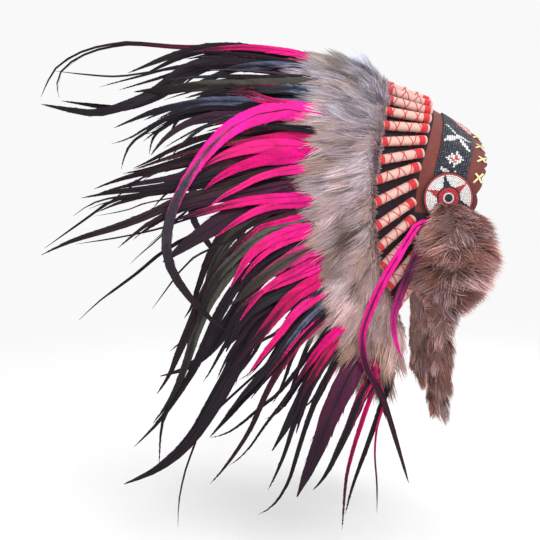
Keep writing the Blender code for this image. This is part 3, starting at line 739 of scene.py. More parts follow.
# Places on the near half of the sheet, to find those that a pixel shows
SAMPLE_GRID = np.linspace(-1.03, -0.005, 60), np.linspace(0.02, 0.49, 70)
SAMPLE_S, SAMPLE_D = np.meshgrid(*SAMPLE_GRID, indexing="ij")
SAMPLES = place(SAMPLE_S, SAMPLE_D, 0.008).reshape(-1, 3)
SAMPLE_PIXELS = pixels(SAMPLES)
ROOT_ZONE = ((SAMPLE_D > 0.10) & (SAMPLE_D < 0.20)).ravel()


def weights(pixel, zone, spread):
    """Shares of the samples in a zone at each pixel, which fall off over spread pixels."""
    gap = ((SAMPLE_PIXELS[zone][None] - np.asarray(pixel, float)[:, None]) ** 2).sum(-1)
    gap -= gap.min(1, keepdims=True)
    w = np.exp(-gap / (2 * spread**2))
    return w / w.sum(1, keepdims=True)


def on_sheet(pixel, lift):
    """Points seen at these pixels, lift metres outside the near half of the sheet."""
    x = weights(pixel, slice(None), 8.0) @ SAMPLES[:, 0]
    return at_pixel(pixel, x - lift)


def root_station(pixel):
    share = weights(np.asarray(pixel)[None], ROOT_ZONE, 5.0)
    return float((share @ SAMPLE_S.ravel()[ROOT_ZONE])[0])


# Feathers of the near side as the photograph shows them, back ones first: kind, widest part in
# pixels, lift in millimetres, number of copies beside it (-1 for one feather on this side alone),
# then points of the shaft as x,y in pixels. A semicolon ends each feather.
CHART = """
crimson 3.2 2 0 306,58 262,48 215,46 180,46 143,43 126,42 92,48 69,58 55,69 47,83 41,97;
crimson 2.9 4 0 306,64 240,62 193,66 155,71 120,76 92,75 55,71;
ink 11 4 2 308,56 249,49 209,47 180,53 160,60 143,67 128,73;
ink 6 6 1 300,64 230,62 180,66 140,76 99,87;
ink 13 8 2 305,70 240,64 205,64 180,73 150,94 120,107 95,113 70,110 41,104;
edge 7 8 1 310,66 255,60 215,60 185,70 165,84;
crimson 4 12 0 306,66 249,56 226,52 180,50;
hot 9 14 1 320,62 300,54 278,50 249,47 211,49 185,53;
slate 9 16 1 316,72 290,67 272,65 244,67 226,71 211,77 190,86;
ink 9 12 3 315,78 278,79 250,81 215,90 185,98;
olive 15 14 0 310,84 240,86 203,86 180,88 150,90 134,92;
teal 11 18 2 322,96 290,88 267,90 247,84;
slate 10 12 2 316,106 275,103 252,102 226,101 200,102 180,106 153,112 130,121 114,128;
ink 9 10 2 316,112 260,109 230,107 205,108 180,113 160,122 143,134 131,143 125,155 121,169;
ink 5 8 1 300,108 230,104 180,112 150,126 130,138 111,144;
olive 3 9 1 260,92 200,90 170,94 143,102;
plum 12 10 0 280,122 230,116 204,118 182,126 164,139 151,155;
slate 5 12 -1 270,118 240,116 214,122 194,134 180,146 170,158;
wine 10 8 2 314,146 250,150 220,157 195,162 165,168 140,174 115,181 94,189;
crimson 9 10 2 314,156 250,160 220,165 190,173 160,180 130,185 99,193;
ink 10 9 2 314,164 250,168 215,175 185,183 150,188 115,192 81,198;
rose 4 14 1 270,136 220,145 199,150 180,155 155,163 138,169;
crimson 4 14 1 260,152 200,162 165,169 140,179 117,189;
ink 3 8 1 270,172 200,184 150,192 98,201 73,216;
ink 3.4 8 1 260,178 170,192 117,199 86,219 45,248;
brown 11 10 1 300,170 262,174 230,186 200,195 180,200 143,217 109,229 96,233 69,242 41,255;
ink 1.9 8 0 210,192 160,200 127,210 95,216;
plum 8 12 2 270,194 230,196 205,200 180,207 164,215 145,226 132,236 118,248;
ink 2.6 8 0 240,205 200,215 161,228 120,237 76,244;
ink 11 18 1 322,131 300,129 275,127 255,126;
rose 16 13 1 320,140 290,140 262,142 238,150 214,162 194,176;
fuchsia 17 16 0 320,148 290,146 264,145 240,150 218,158 202,168;
fuchsia 15 17 -1 320,156 292,157 264,160 240,167 218,178 204,190;
fuchsia 9 18 -1 316,168 289,170 262,176 240,187 222,197 208,208;
plum 25 12 0 306,198 262,204 232,216 208,230 186,245 163,262;
hot 12 17 0 318,194 300,196 270,198 245,201 215,208 190,215 170,222;
fuchsia 10 18 -1 318,202 295,203 270,206 250,214 232,225 215,237;
ink 3 9 1 240,215 200,232 161,253 138,272 110,293 96,304 79,320;
ink 2.6 9 0 240,232 210,249 185,266 174,279 152,309;
brown 14 10 1 315,212 285,220 262,230 238,250 218,272 204,296 192,322 180,350 170,374 157,394;
olive 14 12 1 315,222 280,232 250,252 226,275 208,302 196,330 188,356 178,384 166,406 153,423;
ink 9 11 1 312,236 268,256 238,284 218,315 204,345 190,375 172,404 155,426 134,447;
ink 6 12 0 300,246 250,276 224,310 206,348 190,378 172,402 162,424 160,445 159,467;
hot 6 12 -1 300,224 280,222 263,226 250,235 238,247 228,257;
olive 13 14 0 314,224 289,226 270,232 255,240 236,256 218,275 205,297 196,323;
fuchsia 13 18 0 318,226 296,230 276,237 260,246 247,259 238,274 230,288;
fuchsia 9 18 -1 314,236 293,238 276,246 262,256 250,268 241,281;
moss 15 18 0 320,247 303,252 287,261 270,272 252,286 240,298 228,306;
fuchsia 8 18 -1 314,262 296,270 278,280 262,292 250,306 239,322;
hot 8 18 0 314,276 289,280 265,290 243,305 232,318;
ink 16 14 2 318,280 295,286 266,299 247,314 234,335 226,352;
ink 20 12 2 318,290 285,300 262,318 246,342 234,366 222,388 210,408 200,426 188,442 172,458 150,473
  124,484;
ink 7 10 1 300,290 258,304 236,328 222,350 211,370 203,382;
wine 7 10 0 300,300 262,312 242,336 227,358 217,379;
ink 2.6 8 0 240,370 206,420 195,445 186,468 179,500 178,527;
rose 15 20 -1 322,282 310,286 293,297 277,315 262,334 247,351 233,368;
fuchsia 9 21 -1 324,294 310,301 295,314 281,332 265,352 247,376;
ink 11 16 1 326,306 305,322 286,345 265,370 244,394 225,416;
hot 4 18 -1 326,312 308,326 292,345 276,366 262,382;
slate 6 17 -1 324,308 308,320 292,340 276,362 262,384 250,400;
ink 13 12 2 326,312 303,330 283,354 262,378 240,402 224,421 210,437;
ink 5 10 0 310,352 285,386 262,406 241,424 225,434 210,438;
crimson 7 14 0 328,318 303,339 284,363 266,394 253,424 236,452 220,473 210,484;
ink 4 12 1 320,345 290,392 266,424 250,447 236,461 228,466;
ink 15 12 1 338,332 320,360 306,389 293,414 281,436 272,451;
ink 7 12 1 340,340 320,368 306,398 294,425 285,452 276,474 268,490;
ink 6 11 1 344,350 326,378 314,405 305,430 297,455 290,478 280,497 270,508 258,515;
hot 11 20 0 352,318 340,328 326,341 314,356 302,373 292,388;
rose 10 18 0 352,328 338,340 325,356 314,374 304,392 297,410;
wine 9 15 0 352,334 334,350 320,370 309,392 302,412 296,434;
plum 22 16 0 372,344 360,358 350,374 341,392 332,412 324,432 316,452 309,469 303,483 297,497;
edge 10 14 1 386,358 374,374 364,390 356,407 349,426 340,446 331,465 322,480 313,490;
rose 5 0 0 388,346 378,374 370,398 361,424 353,450 346,480 342,530;
ink 6 -2 0 396,340 392,368 387,390 379,412 371,435 362,460 352,488 345,515;
rose 2.6 4 0 392,350 384,396 377,428 375,455 377,485 377,513;
ink 2 12 1 382,372 364,402 350,430 338,456;
hot 6 24 -1 300,108 278,101 258,95 242,90 229,88;
hot 4.5 24 -1 290,108 266,102 248,96 232,94 219,93;
hero 22 24 0 322,119 300,111 278,109 258,114 240,122 220,137 203,156 187,180 175,202 168,225
  166,245 169,264 179,283 193,301 208,317 225,330;
"""


def feather(pile, line, length, normals, width, kind, n, roll):
    """A thin blade that comes to a point, a shaft, and strips for n barbs a side."""
    k = len(line)
    heading = unit(np.gradient(line, axis=0))
    across = unit(np.cross(normals, heading))
    up = np.cross(heading, across)
    c, s = math.cos(roll), math.sin(roll)
    across, up = across * c + up * s, up * c - across * s
    edge_root, edge_far, dark_mid, dark_tip, shaft = (srgb(*colour) for colour in KINDS[kind][:5])
    start, full = KINDS[kind][5:]
    profile = PROFILES["thin"] if width < NARROW else PROFILES.get(kind, DEFAULT_PROFILE)
    ts = np.linspace(0, 1, k)
    waves = rng.uniform(0, 6.28, 4)
    bright = rng.uniform(0.90, 1.04)

    def at(t, values):
        return np.stack([np.interp(t, ts, values[:, i]) for i in range(3)], -1)

    def half(t, side):
        ripple = 0.05 * np.sin(t * 17 + waves[0] + side) + 0.035 * np.sin(t * 39 + waves[1] * side)
        return width / 2 * np.interp(t, *profile) * (1 + ripple)

    def place_on(t, share, side, lift=0.0):
        reach = half(t, side) * share
        sag = lift - reach**2 / np.maximum(width, 1e-6) * 0.5
        return at(t, line) + at(t, across) * (side * reach)[..., None] + at(t, up) * sag[..., None]

    def colour(t, share):
        edge = edge_root + (edge_far - edge_root) * np.clip((t - 0.2) / 0.5, 0, 1)[..., None]
        dark = dark_mid + (dark_tip - dark_mid) * np.clip((t - 0.5) / 0.4, 0, 1)[..., None]
        fill = np.interp(t, (start, full), (-0.35, 1.35))
        mix = np.clip((fill - share) * 3 + 0.5, 0, 1)[..., None]
        return (edge + (dark - edge) * mix) * bright

    shares = np.array((-0.94, -0.5, 0.0, 0.5, 0.94))
    t, share = np.meshgrid(ts, shares, indexing="ij")
    blade = np.stack([place_on(ts, abs(v), 1 if v > 0 else -1, -0.0003) for v in shares], 1)
    pile.add(blade, [grid_faces(k, 5)], colour(t, np.abs(share)) * 0.9)
    k2 = np.arange(0, k, 2)
    thick = np.interp(ts[k2], (0, 1), (min(0.0008, width * 0.08), 0.00015))[:, None]
    core, side_of, over = line[k2], across[k2], up[k2]
    ring = np.stack((core - side_of * thick, core + over * thick, core + side_of * thick), 1)
    pile.add(ring, [grid_faces(len(k2), 3, wrap=True)], shaft)

    if width < NARROW:
        return
    pairs = np.arange(n // 2 + 2)
    streak = np.interp(np.arange(n) / 2, pairs, rng.uniform(0.72, 1.2, len(pairs)))
    for side in (-1, 1):
        t = np.linspace(0.0, 0.97, n) + rng.normal(0, 0.25 / n, n)
        t = np.clip(t, 0, 0.985)
        angle = np.radians(np.interp(t, (0, 0.5, 1), (26, 18, 9)) + rng.normal(0, 1.4, n))
        step = np.minimum(half(t, side) / np.tan(angle) / length, 0.16)
        middle, far = np.clip(t + step * 0.5, 0, 1), np.clip(t + step, 0, 1)
        over = 1 + np.where(rng.random(n) < 0.10, rng.uniform(0.0, 0.22, n), 0)
        spots = ((t, 0 * t), (middle, 0.60 * over), (far, over))
        barb = np.stack([place_on(spot, share, side) for spot, share in spots], 1)
        broad = np.maximum(length / n * np.sin(angle) * 1.5, 0.0004)
        widths = np.stack((broad, broad, broad * 0), 1)
        flat = unit(np.cross(at(t, up), unit(barb[:, 1] - barb[:, 0]) + 1e-9))
        spots = (t, 0), (middle, 0.6), (far, 1)
        tints = np.stack([colour(*spot) for spot in spots], 1) * streak[:, None, None]
        pile.add(*strips(barb, np.repeat(flat[:, None], 3, 1), widths, tints))


def bunch_of(station):
    index = abs(station) * WRAPS_A_SIDE
    if index < 0.5:
        return "feathers_centre"
    side = "right" if station < 0 else "left"
    return f"feathers_{side}_{min(7, int((index - 0.5) / 2) + 1)}"


def read_chart():
    for row in CHART.strip("; \n").split(";"):
        kind, width, lift, copies, *path = row.split()
        path = np.array([spot.split(",") for spot in path], float)
        yield kind, float(width), float(lift), int(copies), path


def far_shift(path):
    """Brings the roots of the far side's feathers under its ruff, which looks smaller."""
    share = np.clip((path[:, :1] - 110) / 90, 0, 1) * np.clip((400 - path[:, 1:]) / 90, 0, 1)
    return (path - PICTURE / 2) * 0.136 * share


def make_feathers():
    piles = {"feathers_centre": Pile()}
    for i in range(1, 8):
        piles[f"feathers_right_{i}"], piles[f"feathers_left_{i}"] = Pile(), Pile()
    for kind, width, lift, copies, path in read_chart():
        spread = np.linspace(0.4, 1, len(path))[:, None]
        for copy, side in ((copy, side) for copy in range(max(copies, 0) + 1) for side in (-1, 1)):
            if side > 0 and (width < 3 or copy > 1 or copies < 0):
                continue
            shift = 0 if copy == 0 and side < 0 else 1
            moved = path + rng.normal(0, 2.6, 2) * spread * shift
            if side > 0 and 120 < path[0, 1] < 300:
                moved = moved + far_shift(moved)
            if copy:
                trim = rng.uniform(0.72, 0.97)
                moved, _ = smooth_path(np.column_stack((moved, moved[:, 0] * 0)), 12)
                moved = moved[: max(5, int(12 * trim)), :2]
            high = (lift - 3.0 * copy) / 1000
            station = max(-1.0, min(-0.004, root_station(moved[0])))
            roots = place(station, (0.072, 0.100, 0.128), (0.004, 0.006, 0.009))
            rise = np.interp(np.arange(len(moved)) / len(moved), (0, 0.35), (0.15, 1))
            seen = on_sheet(moved, high * rise + 0.003 * (1 - rise))
            points = np.vstack((roots, seen[1:])) if len(seen) > 3 else np.vstack((roots[:2], seen))
            line, length = smooth_path(points, LINE_POINTS)
            if side > 0:
                line = line * (-1, 1, 1)
            normals = np.array((side * 1.0, 0.0, 0.25)) + rng.normal(0, 0.16, 3)
            size = width * PIXEL_WIDTH * (1 if copy == 0 else rng.uniform(0.6, 0.95))
            tone = kind
            if copy and kind in ("hot", "rose"):
                tone = (kind, kind, "rose")[int(rng.integers(3))]
            barbs = int(np.clip(length / BARB_STEP, 24, 84))
            flat = np.tile(unit(normals), (LINE_POINTS, 1))
            pile = piles[bunch_of(station * -side)]
            feather(pile, line, length, flat, size, tone, barbs, rng.normal(0, 0.18))
    for name, pile in piles.items():
        fill_bunch(name, pile)
        pile.make(name.replace("feathers_", "plumes_"), FEATHER, "feather", [name])


# Stations of the gaps between feathers, on the near side and on the far side
GAPS = [
    [-root_station(np.array(pixel, float)) for pixel in gaps]
    for gaps in (
        ((298, 183), (296, 214), (298, 246), (320, 330)), ((302, 171), (300, 206), (302, 243)),
    )
]


def fill_bunch(name, pile):
    """Under feathers that follow the sheet, so that each bunch is full from all sides."""
    step = 1 / WRAPS_A_SIDE
    if name == "feathers_centre":
        first, last, side = -step / 2, step / 2, 1
    else:
        side = -1 if "right" in name else 1
        i = int(name[-1]) - 1
        first = (2 * i + 0.5) * step
        last = min(first + 2 * step, 1 + step / 4)
    count = 8 if last - first > 1.5 * step else 5
    for i in range(count):
        station = side * (first + (last - first) * (i + 0.5 + rng.uniform(-0.3, 0.3)) / count)
        if min(abs(abs(station) - gap) for gap in GAPS[side > 0]) < 0.028:
            continue
        reach = float(arch_at(np.array(station))["reach"]) * FEATHER_LENGTH
        share = rng.uniform(0.36, 0.62)
        d = WRAP_START + WRAP_LENGTH + np.linspace(0.006, reach * share, 9)
        t = np.linspace(0, 1, 9)
        drift = station + rng.normal(0, 0.012) * t
        height = 0.003 + t * rng.uniform(-0.004, 0.016)
        line, length = smooth_path(place(drift, d, height), UNDER_POINTS)
        below = WRAP_LENGTH + np.linspace(0.01, reach * share, UNDER_POINTS)
        normal = frames(np.full(UNDER_POINTS, station), below)[3]
        tone = ("ink", "wine", "ink", "crimson", "plum", "ink", "rose", "olive", "ink")[i % 9]
        size = rng.uniform(0.008, 0.015)
        feather(pile, line, length, normal, size, tone, int(length / 0.006), rng.normal(0, 0.3))


# The hanging feathers: x, y and depth below the root as shares of STRAND_LENGTH
LONG_STRAND = (
    (-0.004, -0.044, -0.012), (0.000, 0.000, 0.000), (0.052, 0.044, 0.049), (0.100, 0.090, 0.095),
    (0.143, 0.166, 0.216), (0.182, 0.229, 0.362), (0.189, 0.236, 0.437), (0.182, 0.219, 0.526),
    (0.169, 0.153, 0.652), (0.149, 0.040, 0.978),
)
SHORT_STRAND = (
    (-0.004, -0.044, -0.012), (0.000, 0.000, 0.000), (0.060, 0.050, 0.090), (0.128, 0.102, 0.220),
    (0.158, 0.142, 0.335), (0.162, 0.132, 0.425), (0.158, 0.108, 0.490),
)
STRAND_ROOT = np.array((0.0978, 0.0430, -0.112))


def make_feather_drops():
    strands = (LONG_STRAND, 0.0108, "strand", 0.007), (SHORT_STRAND, 0.0112, "berry", -0.007)
    for side, name in SIDES:
        pile = Pile()
        for rows, width, kind, split in strands:
            rows = np.array(rows)
            points = STRAND_ROOT + rows * (1, 1, -1) * STRAND_LENGTH
            points[:, 1] += np.where(rows[:, 1] < 0.06, split, split * 0.5)
            points[:, 0] += 0.0012 if kind == "strand" else 0
            line, length = smooth_path(points * (side, 1, 1), 40)
            normals = np.tile(unit(np.array((side * 1.0, 0.15, 0.1))), (40, 1))
            feather(pile, line, length, normals, width, kind, int(length / 0.0020), 0.15)
            under = line - np.array((side * 0.0008, 0, 0))
            feather(pile, under, length, normals, width * 0.8, kind, int(length / 0.003), -0.1)
        pile.make("feather_strands_" + name, FEATHER, "feather", ["feather_drop_" + name])


# Fur
RUFF_TUFTS, RUFF_HAIRS, RUFF_UNDERHAIRS = 620, 36000, 42000
RUFF_LENGTHS = (-0.05, 0.05, 0.25, 0.6, 0.98), (0.28, 0.42, 0.8, 1.05, 0.95)
TAIL_TUFTS = 170, 90  # above and below the middle
TAIL_HAIRS = 17500
TAIL_ROOTS = 0.72  # share of the way out from the drop's middle
FUR_TINTS = np.array([srgb(*c) for c in (
    (228, 214, 226), (224, 204, 214), (214, 192, 200), (208, 180, 174), (194, 164, 152),
    (168, 142, 138),
)])
FUR_DARK = srgb(152, 130, 132)
# Red, green and blue wash of the ruff, by station from the middle
FUR_WASH = [((0, 0.5, 0.8, 1.0), wash) for wash in (
    (0.78, 0.93, 0.84, 0.78), (0.93, 0.91, 0.75, 0.64), (0.97, 0.88, 0.67, 0.54),
)]
# Partings between the locks of the ruff, darkened with painted shade, on both sides, each by its
# stations and by its shares of the fur's length
PARTINGS = (
    ((0.150, 0.130, 0.115), (0.04, 0.60, 1.00)), ((0.345, 0.355, 0.355), (0.10, 0.42, 0.70)),
    ((0.390, 0.390, 0.365), (0.38, 0.68, 0.96)), ((0.495, 0.495, 0.480), (0.26, 0.54, 1.00)),
    ((0.540, 0.535, 0.525), (0.34, 0.58, 0.85)), ((0.655, 0.655, 0.655), (0.14, 0.48, 0.76)),
    ((0.785, 0.795, 0.820), (0.12, 0.44, 0.68)),
)


def tufts(roots, headings, lengths, fall, centres, tips, pull, steps):
    """Hairs as bent lines whose tips are drawn towards the tip of their tuft."""
    line = roots[:, None] + headings[:, None] * (lengths[:, None] * steps)[..., None]
    line = line + fall[:, None] * (steps**2)[None, :, None]
    ends = roots + headings * lengths[:, None] + fall
    return line + (tips + (roots - centres) * 0.25 - ends)[:, None] * pull * (steps**2)[:, None]


def ruff_height(share):
    return np.interp(share, (0, 0.12, 0.42, 0.74, 1.0), (0.30, 0.80, 0.92, 0.58, 0.11))


def fur_length(station):
    lock = 0.93 + 0.06 * np.sin(station * 61) + 0.05 * np.sin(station * 133)
    return FUR_LENGTH * lock * np.interp(np.abs(station), (FUR_FULL, FUR_END), (1, FUR_SHORTENED))


def fur_surface(station, share):
    """Distance and height of the fur's roots."""
    height = FUR_LOW + FUR_DEPTH * 0.64 * ruff_height(np.clip(share, 0, 1))
    return FUR_START + fur_length(station) * np.maximum(share, -0.05) * 0.88, height


def painted_parting_shade(lines):
    """Painted shade: darkening of the hairs' points by their distance from the partings, seen from
    outside.
    """
    near = np.full(lines.shape[:2], 1.0)
    for side, (stations, shares) in ((side, row) for row in PARTINGS for side in (-1, 1)):
        s = side * np.array(stations)
        distance, height = fur_surface(s, np.array(shares))
        point, _, _, normals = frames(s, distance)
        curve = point + normals * height[:, None]
        for a, b, normal in zip(curve, curve[1:], normals):
            step = (b - a) - normal * (b - a).dot(normal)
            apart = lines - a
            above = apart @ normal
            apart = apart - above[..., None] * normal
            share = np.clip(apart @ step / step.dot(step), 0, 1)
            gap = ((apart - share[..., None] * step) ** 2).sum(-1)
            near = np.minimum(near, np.where(np.abs(above) < 0.03, gap, 1.0))
    return 1 - 0.58 * np.exp(-near / 0.0020**2)


def make_ruff():
    pile = Pile()
    grid = np.linspace(-FUR_END, FUR_END, 181), np.linspace(0, 1, 12)
    s, c = np.meshgrid(*grid, indexing="ij")
    distance = FUR_START + fur_length(s) * c * 0.84
    outer = place(s, distance, FUR_LOW + FUR_DEPTH * 0.72 * ruff_height(c))
    inner = place(s, distance, FUR_LOW + 0.003 * np.interp(c, (0.16, 1), (0, 1)))
    ring, faces = shell(outer, inner)
    pile.add(ring, [faces], FUR_DARK)

    clumps = RUFF_TUFTS
    cs = rng.uniform(-FUR_END, FUR_END, clumps)
    cc = rng.uniform(0, 1, clumps)
    turn = rng.normal(0, 0.22, clumps)
    lean = rng.normal(0, 0.12, clumps)
    long = rng.uniform(0.8, 1.25, clumps)
    patch = np.sin(cs * 23 + cc * 3) + np.sin(cs * 11 - cc * 5 + 1.3) + rng.normal(0, 0.7, clumps)
    shade = np.interp(patch, (-2.6, -1.2, 0, 2.2), (0.48, 0.84, 1.07, 1.22))
    shade = shade * rng.uniform(0.82, 1.15, clumps)
    shade = shade * np.where(rng.random(clumps) < 0.09, 0.52, 1)
    tone = (1.2 + cc * 2.8 - patch * 0.5 + rng.normal(0, 0.8, clumps)).astype(int)
    tone = np.clip(tone, 0, len(FUR_TINTS) - 1)

    def grow(s, c, angle, lift, length):
        distance, height = fur_surface(s, c)
        point, along, back, normal = frames(s, distance)
        level = spokes(angle, back, along) * np.cos(lift)[:, None]
        heading = unit(level + normal * np.sin(lift)[:, None])
        fall = back * 0.12 * length[:, None] - normal * 0.22 * length[:, None]
        return point + normal * height[:, None], heading, fall

    def fanned(s):
        return np.interp(np.abs(s), (0.92, FUR_END), (0, 0.7)) * np.sign(s)

    def lifted(c):
        return np.interp(c, (-0.05, 0.03, 0.2, 0.55, 0.95), (1.75, 1.1, 0.5, 0.24, 0.10))

    def hairs(which, s, c, length, widths, lift, pull, steps):
        mid, aim, sink = grow(cs, cc, turn + fanned(cs), lifted(cc) + lean, 0.036 * long)
        tips = mid + aim * (0.040 * long)[:, None] + sink
        n = len(which)
        angle = turn[which] + fanned(s) + rng.normal(0, 0.10, n)
        lifts = lifted(c) * lift + lean[which] + rng.normal(0, 0.07, n)
        root, heading, fall = grow(s, c, angle, lifts, length)
        hold = np.where(c < 0.12, 0.0, pull)[:, None, None]
        line = tufts(root, heading, length, fall, mid[which], tips[which], hold, steps)
        flat = unit(np.cross(heading, line[:, -1] - EYE) + rng.normal(0, 0.4, (n, 3)))
        base = FUR_TINTS[tone[which]] * (shade[which] * rng.uniform(0.78, 1.20, n))[:, None]
        base = base * np.stack([np.interp(np.abs(s), *wash) for wash in FUR_WASH], 1)
        ramp = np.interp(steps, (0, 0.4, 1), (0.55, 0.86, 1.08))
        ramp = ramp + np.clip(0.12 - c, 0, 0.12)[:, None] * 3.2 * (1 - steps)
        # painted shade along the partings between the locks
        ramp = ramp * painted_parting_shade(line)
        across = np.repeat(flat[:, None], len(steps), 1)
        wide = np.array(widths)[None] * rng.uniform(0.7, 1.25, (n, 1))
        return strips(line, across, wide, base[:, None] * ramp[..., None])

    fur = (0, 0.36, 0.72, 1), (0.00070, 0.00062, 0.00042, 0), 1.0, 0.55
    underfur = (0, 0.5, 1), (0.00085, 0.0007, 0), 0.8, 0.25
    for name, count, (steps, widths, lift, pull) in (
        ("ruff_fur", RUFF_HAIRS, fur), ("ruff_underfur", RUFF_UNDERHAIRS, underfur),
    ):
        which = rng.integers(0, clumps, count)
        s = np.clip(cs[which] + rng.normal(0, 0.016, count), -FUR_END, FUR_END)
        c = np.clip(cc[which] + rng.normal(0, 0.06, count), -0.05, 0.98)
        front = rng.random(count) < 0.10
        c = np.where(front, rng.uniform(-0.05, 0.07, count), c)
        length = 0.034 * long[which] * rng.uniform(0.72, 1.15, count)
        length = length * np.interp(c, *RUFF_LENGTHS)
        low_end = np.clip((np.abs(s) - 0.86) / 0.12, 0, 1) * np.clip((c - 0.4) / 0.4, 0, 1)
        length = length * (1 + 0.32 * low_end)
        piece = pile if name == "ruff_fur" else Pile()
        piece.add(*hairs(which, s, c, length, widths, lift, pull, np.array(steps, float)))
        piece.make(name, FUR, "fur", ["fur_ruff"] if piece is pile else [])


# The fur drop: share down, then shift back, width and depth as shares of its own sizes
DROP_ROWS = np.array((
    (0.030, 0.00, 0.18, 0.22), (0.090, -0.10, 0.50, 0.50), (0.200, -0.08, 0.74, 0.90),
    (0.310, -0.03, 0.82, 1.00), (0.420, 0.02, 0.70, 0.82), (0.510, 0.08, 0.42, 0.58),
    (0.640, 0.10, 0.29, 0.48), (0.800, 0.11, 0.29, 0.42), (0.930, 0.12, 0.22, 0.28),
    (1.000, 0.12, 0.04, 0.05),
))
TAIL_DARK = srgb(112, 84, 80)
TAIL_TINTS = np.array([srgb(*c) for c in (
    (208, 162, 154), (188, 136, 126), (164, 110, 102), (138, 90, 82), (200, 164, 166),
)])


def make_fur_drops():
    point, _, _, normal = rosette_frame(1)
    face = point + normal * (ROSETTE_WALL + DROP_CLEARANCE)

    def surface(down, turn, share):
        back, width, depth = (np.interp(down, DROP_ROWS[:, 0], DROP_ROWS[:, i]) for i in (1, 2, 3))
        x = face[0] + depth * DROP_DEPTH / 2 * (1 + share * np.cos(turn))
        y = face[1] + back * DROP_WIDTH + width * DROP_WIDTH / 2 * share * np.sin(turn)
        return np.stack((x, y, face[2] - down * DROP_LENGTH), -1)

    down, turn = np.meshgrid(np.linspace(0.03, 1, 40), full_turn(24), indexing="ij")
    lengths = (0.03, 0.12, 0.3, 0.42, 0.52, 0.62, 1.0), (12, 24, 32, 24, 14, 17, 27)
    steps = np.array((0, 0.36, 0.72, 1.0))
    for side, name in SIDES:
        mirror = np.array((side, 1, 1))
        pile = Pile()
        core = surface(down, turn, 0.80) * mirror
        pile.add(core, [grid_faces(*down.shape, wrap=True)], TAIL_DARK)
        clumps = sum(TAIL_TUFTS)
        high, low = TAIL_TUFTS
        cd = np.concatenate((rng.uniform(0.04, 0.5, high), rng.uniform(0.5, 0.97, low)))
        ct = rng.uniform(0, 2 * math.pi, clumps)
        shade = rng.uniform(0.46, 1.36, clumps)
        tone = rng.integers(0, len(TAIL_TINTS), clumps)
        sway = rng.normal(0, 0.22, (clumps, 3))
        n = TAIL_HAIRS
        which = rng.integers(0, clumps, n)
        d = np.clip(cd[which] + rng.normal(0, 0.022, n), 0.03, 0.985)
        t = ct[which] + rng.normal(0, 0.22, n) * np.where(cd[which] > 0.5, 2.4, 1.3)
        root = surface(d, t, TAIL_ROOTS)
        outward = unit(root - surface(d, t, 0.0))
        puff = np.clip((0.56 - d) / 0.14, 0, 1)
        spread = np.interp(d, (0.03, 0.15, 0.5, 0.6), (0.7, 1.0, 0.9, 0.36))
        hang = np.interp(d, (0.03, 0.15, 0.4, 0.5, 0.6), (-0.3, 0.0, 0.18, 0.5, 1.1))
        heading = outward * (0.55, 1.5, 1.0) * spread[:, None] + (0, -0.15, 0) * puff[:, None]
        heading = heading - (0, 0, 1) * hang[:, None] + sway[which]
        heading = unit(heading + rng.normal(0, 0.10, (n, 3)))
        length = np.interp(d, *lengths) / 1000
        rear = np.clip(outward[:, 1] * 1.4, 0, 1) * np.interp(d, (0.34, 0.46), (0, 0.62))
        stray = (rng.random(n) < 0.16) & (d < 0.5)
        length = length * rng.uniform(0.7, 1.2, n) * (1 - rear) * np.where(stray, 1.28, 1)
        fall = np.array((0, 0, -1.0)) * (length * 0.22)[:, None]
        mid = surface(cd, ct, TAIL_ROOTS)
        members = np.maximum(np.bincount(which, minlength=clumps), 1)[:, None]
        ends = root + heading * length[:, None] + fall
        tips = np.stack([np.bincount(which, ends[:, i], clumps) for i in range(3)], -1) / members
        line = tufts(root, heading, length, fall, mid[which], tips[which], 0.6, steps)
        flat = unit(np.cross(heading, outward) + rng.normal(0, 0.45, (n, 3)))
        widths = np.array((0.0008, 0.0007, 0.00045, 0.0))[None] * rng.uniform(0.7, 1.25, (n, 1))
        shades = shade[which] * rng.uniform(0.76, 1.2, n) * np.where(stray, 1.25, 1)
        shades = shades * np.interp(d, (0.5, 0.62), (1, 0.92))
        base = TAIL_TINTS[tone[which]] * shades[:, None]
        tints = base[:, None] * np.array((0.30, 0.56, 1.02, 1.42))[None, :, None]
        pile.add(*strips(line * mirror, np.repeat(flat[:, None], 4, 1), widths, tints))
        pile.make("fur_tail_" + name, FUR, "fur", ["fur_drop_" + name])


# Floor, lights and camera
FLOOR_HEIGHT = -0.487
LAMPS = (
    # name, spot, size, power
    ("key", (-1.6, -0.7, 1.5), 1.2, 26), ("fill", (-1.5, 1.6, 0.4), 1.5, 10),
    ("rim", (1.6, 0.4, 1.4), 1.2, 14),
)
SENSOR = 36


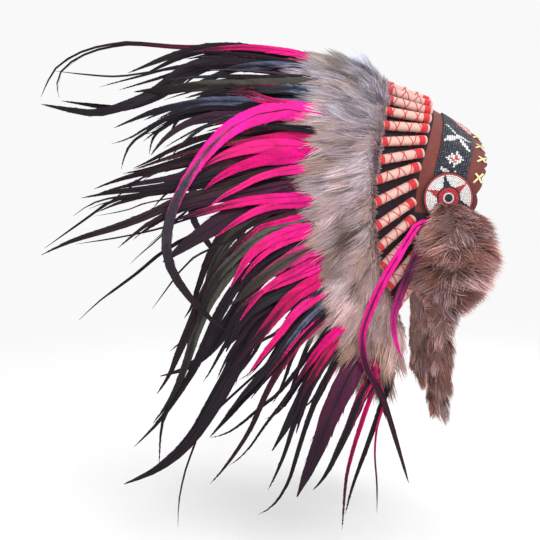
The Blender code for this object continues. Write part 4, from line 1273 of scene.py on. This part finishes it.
def make_floor():
    """A pale floor that fades out, so that no edge of it shows."""
    mesh = bpy.data.meshes.new("floor")
    corners = [(6 * x, 6 * y, FLOOR_HEIGHT) for x, y in ((-1, -1), (1, -1), (1, 1), (-1, 1))]
    mesh.from_pydata(corners, [], [(0, 1, 2, 3)])
    made, tree, main = shader("pale_floor", 0.9, Base_Color=(0.88, 0.88, 0.88, 1))
    mesh.materials.append(made)
    coords, clear = node(tree, "TexCoord"), node(tree, "BsdfTransparent")
    length, mix = node(tree, "VectorMath", operation="LENGTH"), node(tree, "MixShader")
    link(tree, (coords.outputs["Object"], length.inputs[0]))
    limits = (0.35, 1.5, 0.0, 1.0)
    fade = map_range(tree, length.outputs["Value"], limits, interpolation_type="SMOOTHSTEP")
    link(
        tree, (fade, mix.inputs["Fac"]), (main.outputs["BSDF"], mix.inputs[1]),
        (clear.outputs["BSDF"], mix.inputs[2]),
        (mix.outputs["Shader"], tree.nodes["Material Output"].inputs["Surface"]),
    )
    floor = add_object("floor", mesh)


def make_stage():
    make_floor()
    world = bpy.data.worlds.new("studio")
    world.use_nodes = True
    world.node_tree.nodes["Background"].inputs["Color"].default_value = (1.0, 1.0, 1.0, 1)
    world.node_tree.nodes["Background"].inputs["Strength"].default_value = 0.95
    bpy.context.scene.world = world
    for name, spot, size, power in LAMPS:
        lamp = bpy.data.lights.new(name, "AREA")
        lamp.size, lamp.energy = size, power
        obj = add_object(name, lamp)
        obj.location = spot
        aim = Vector((0, 0.2, -0.15)) - Vector(spot)
        obj.rotation_euler = aim.to_track_quat("-Z", "Y").to_euler()
    lens = bpy.data.cameras.new("camera")
    lens.sensor_width = SENSOR
    lens.lens = FOCAL * SENSOR / PICTURE
    lens.clip_start = 0.05
    camera = add_object("camera", lens)
    axes = Matrix((Vector((0, -1, 0)), Vector(UPWARD), Vector(-FORWARD))).transposed()
    camera.matrix_world = Matrix.Translation(Vector(EYE)) @ axes.to_4x4()
    bpy.context.scene.camera = camera
    bpy.context.scene.view_settings.view_transform = "Standard"


make_stage()
make_felt()
make_suede()
make_lacing()
make_browband()
make_rosettes()
make_wraps()
make_feathers()
make_feather_drops()
make_ruff()
make_fur_drops()
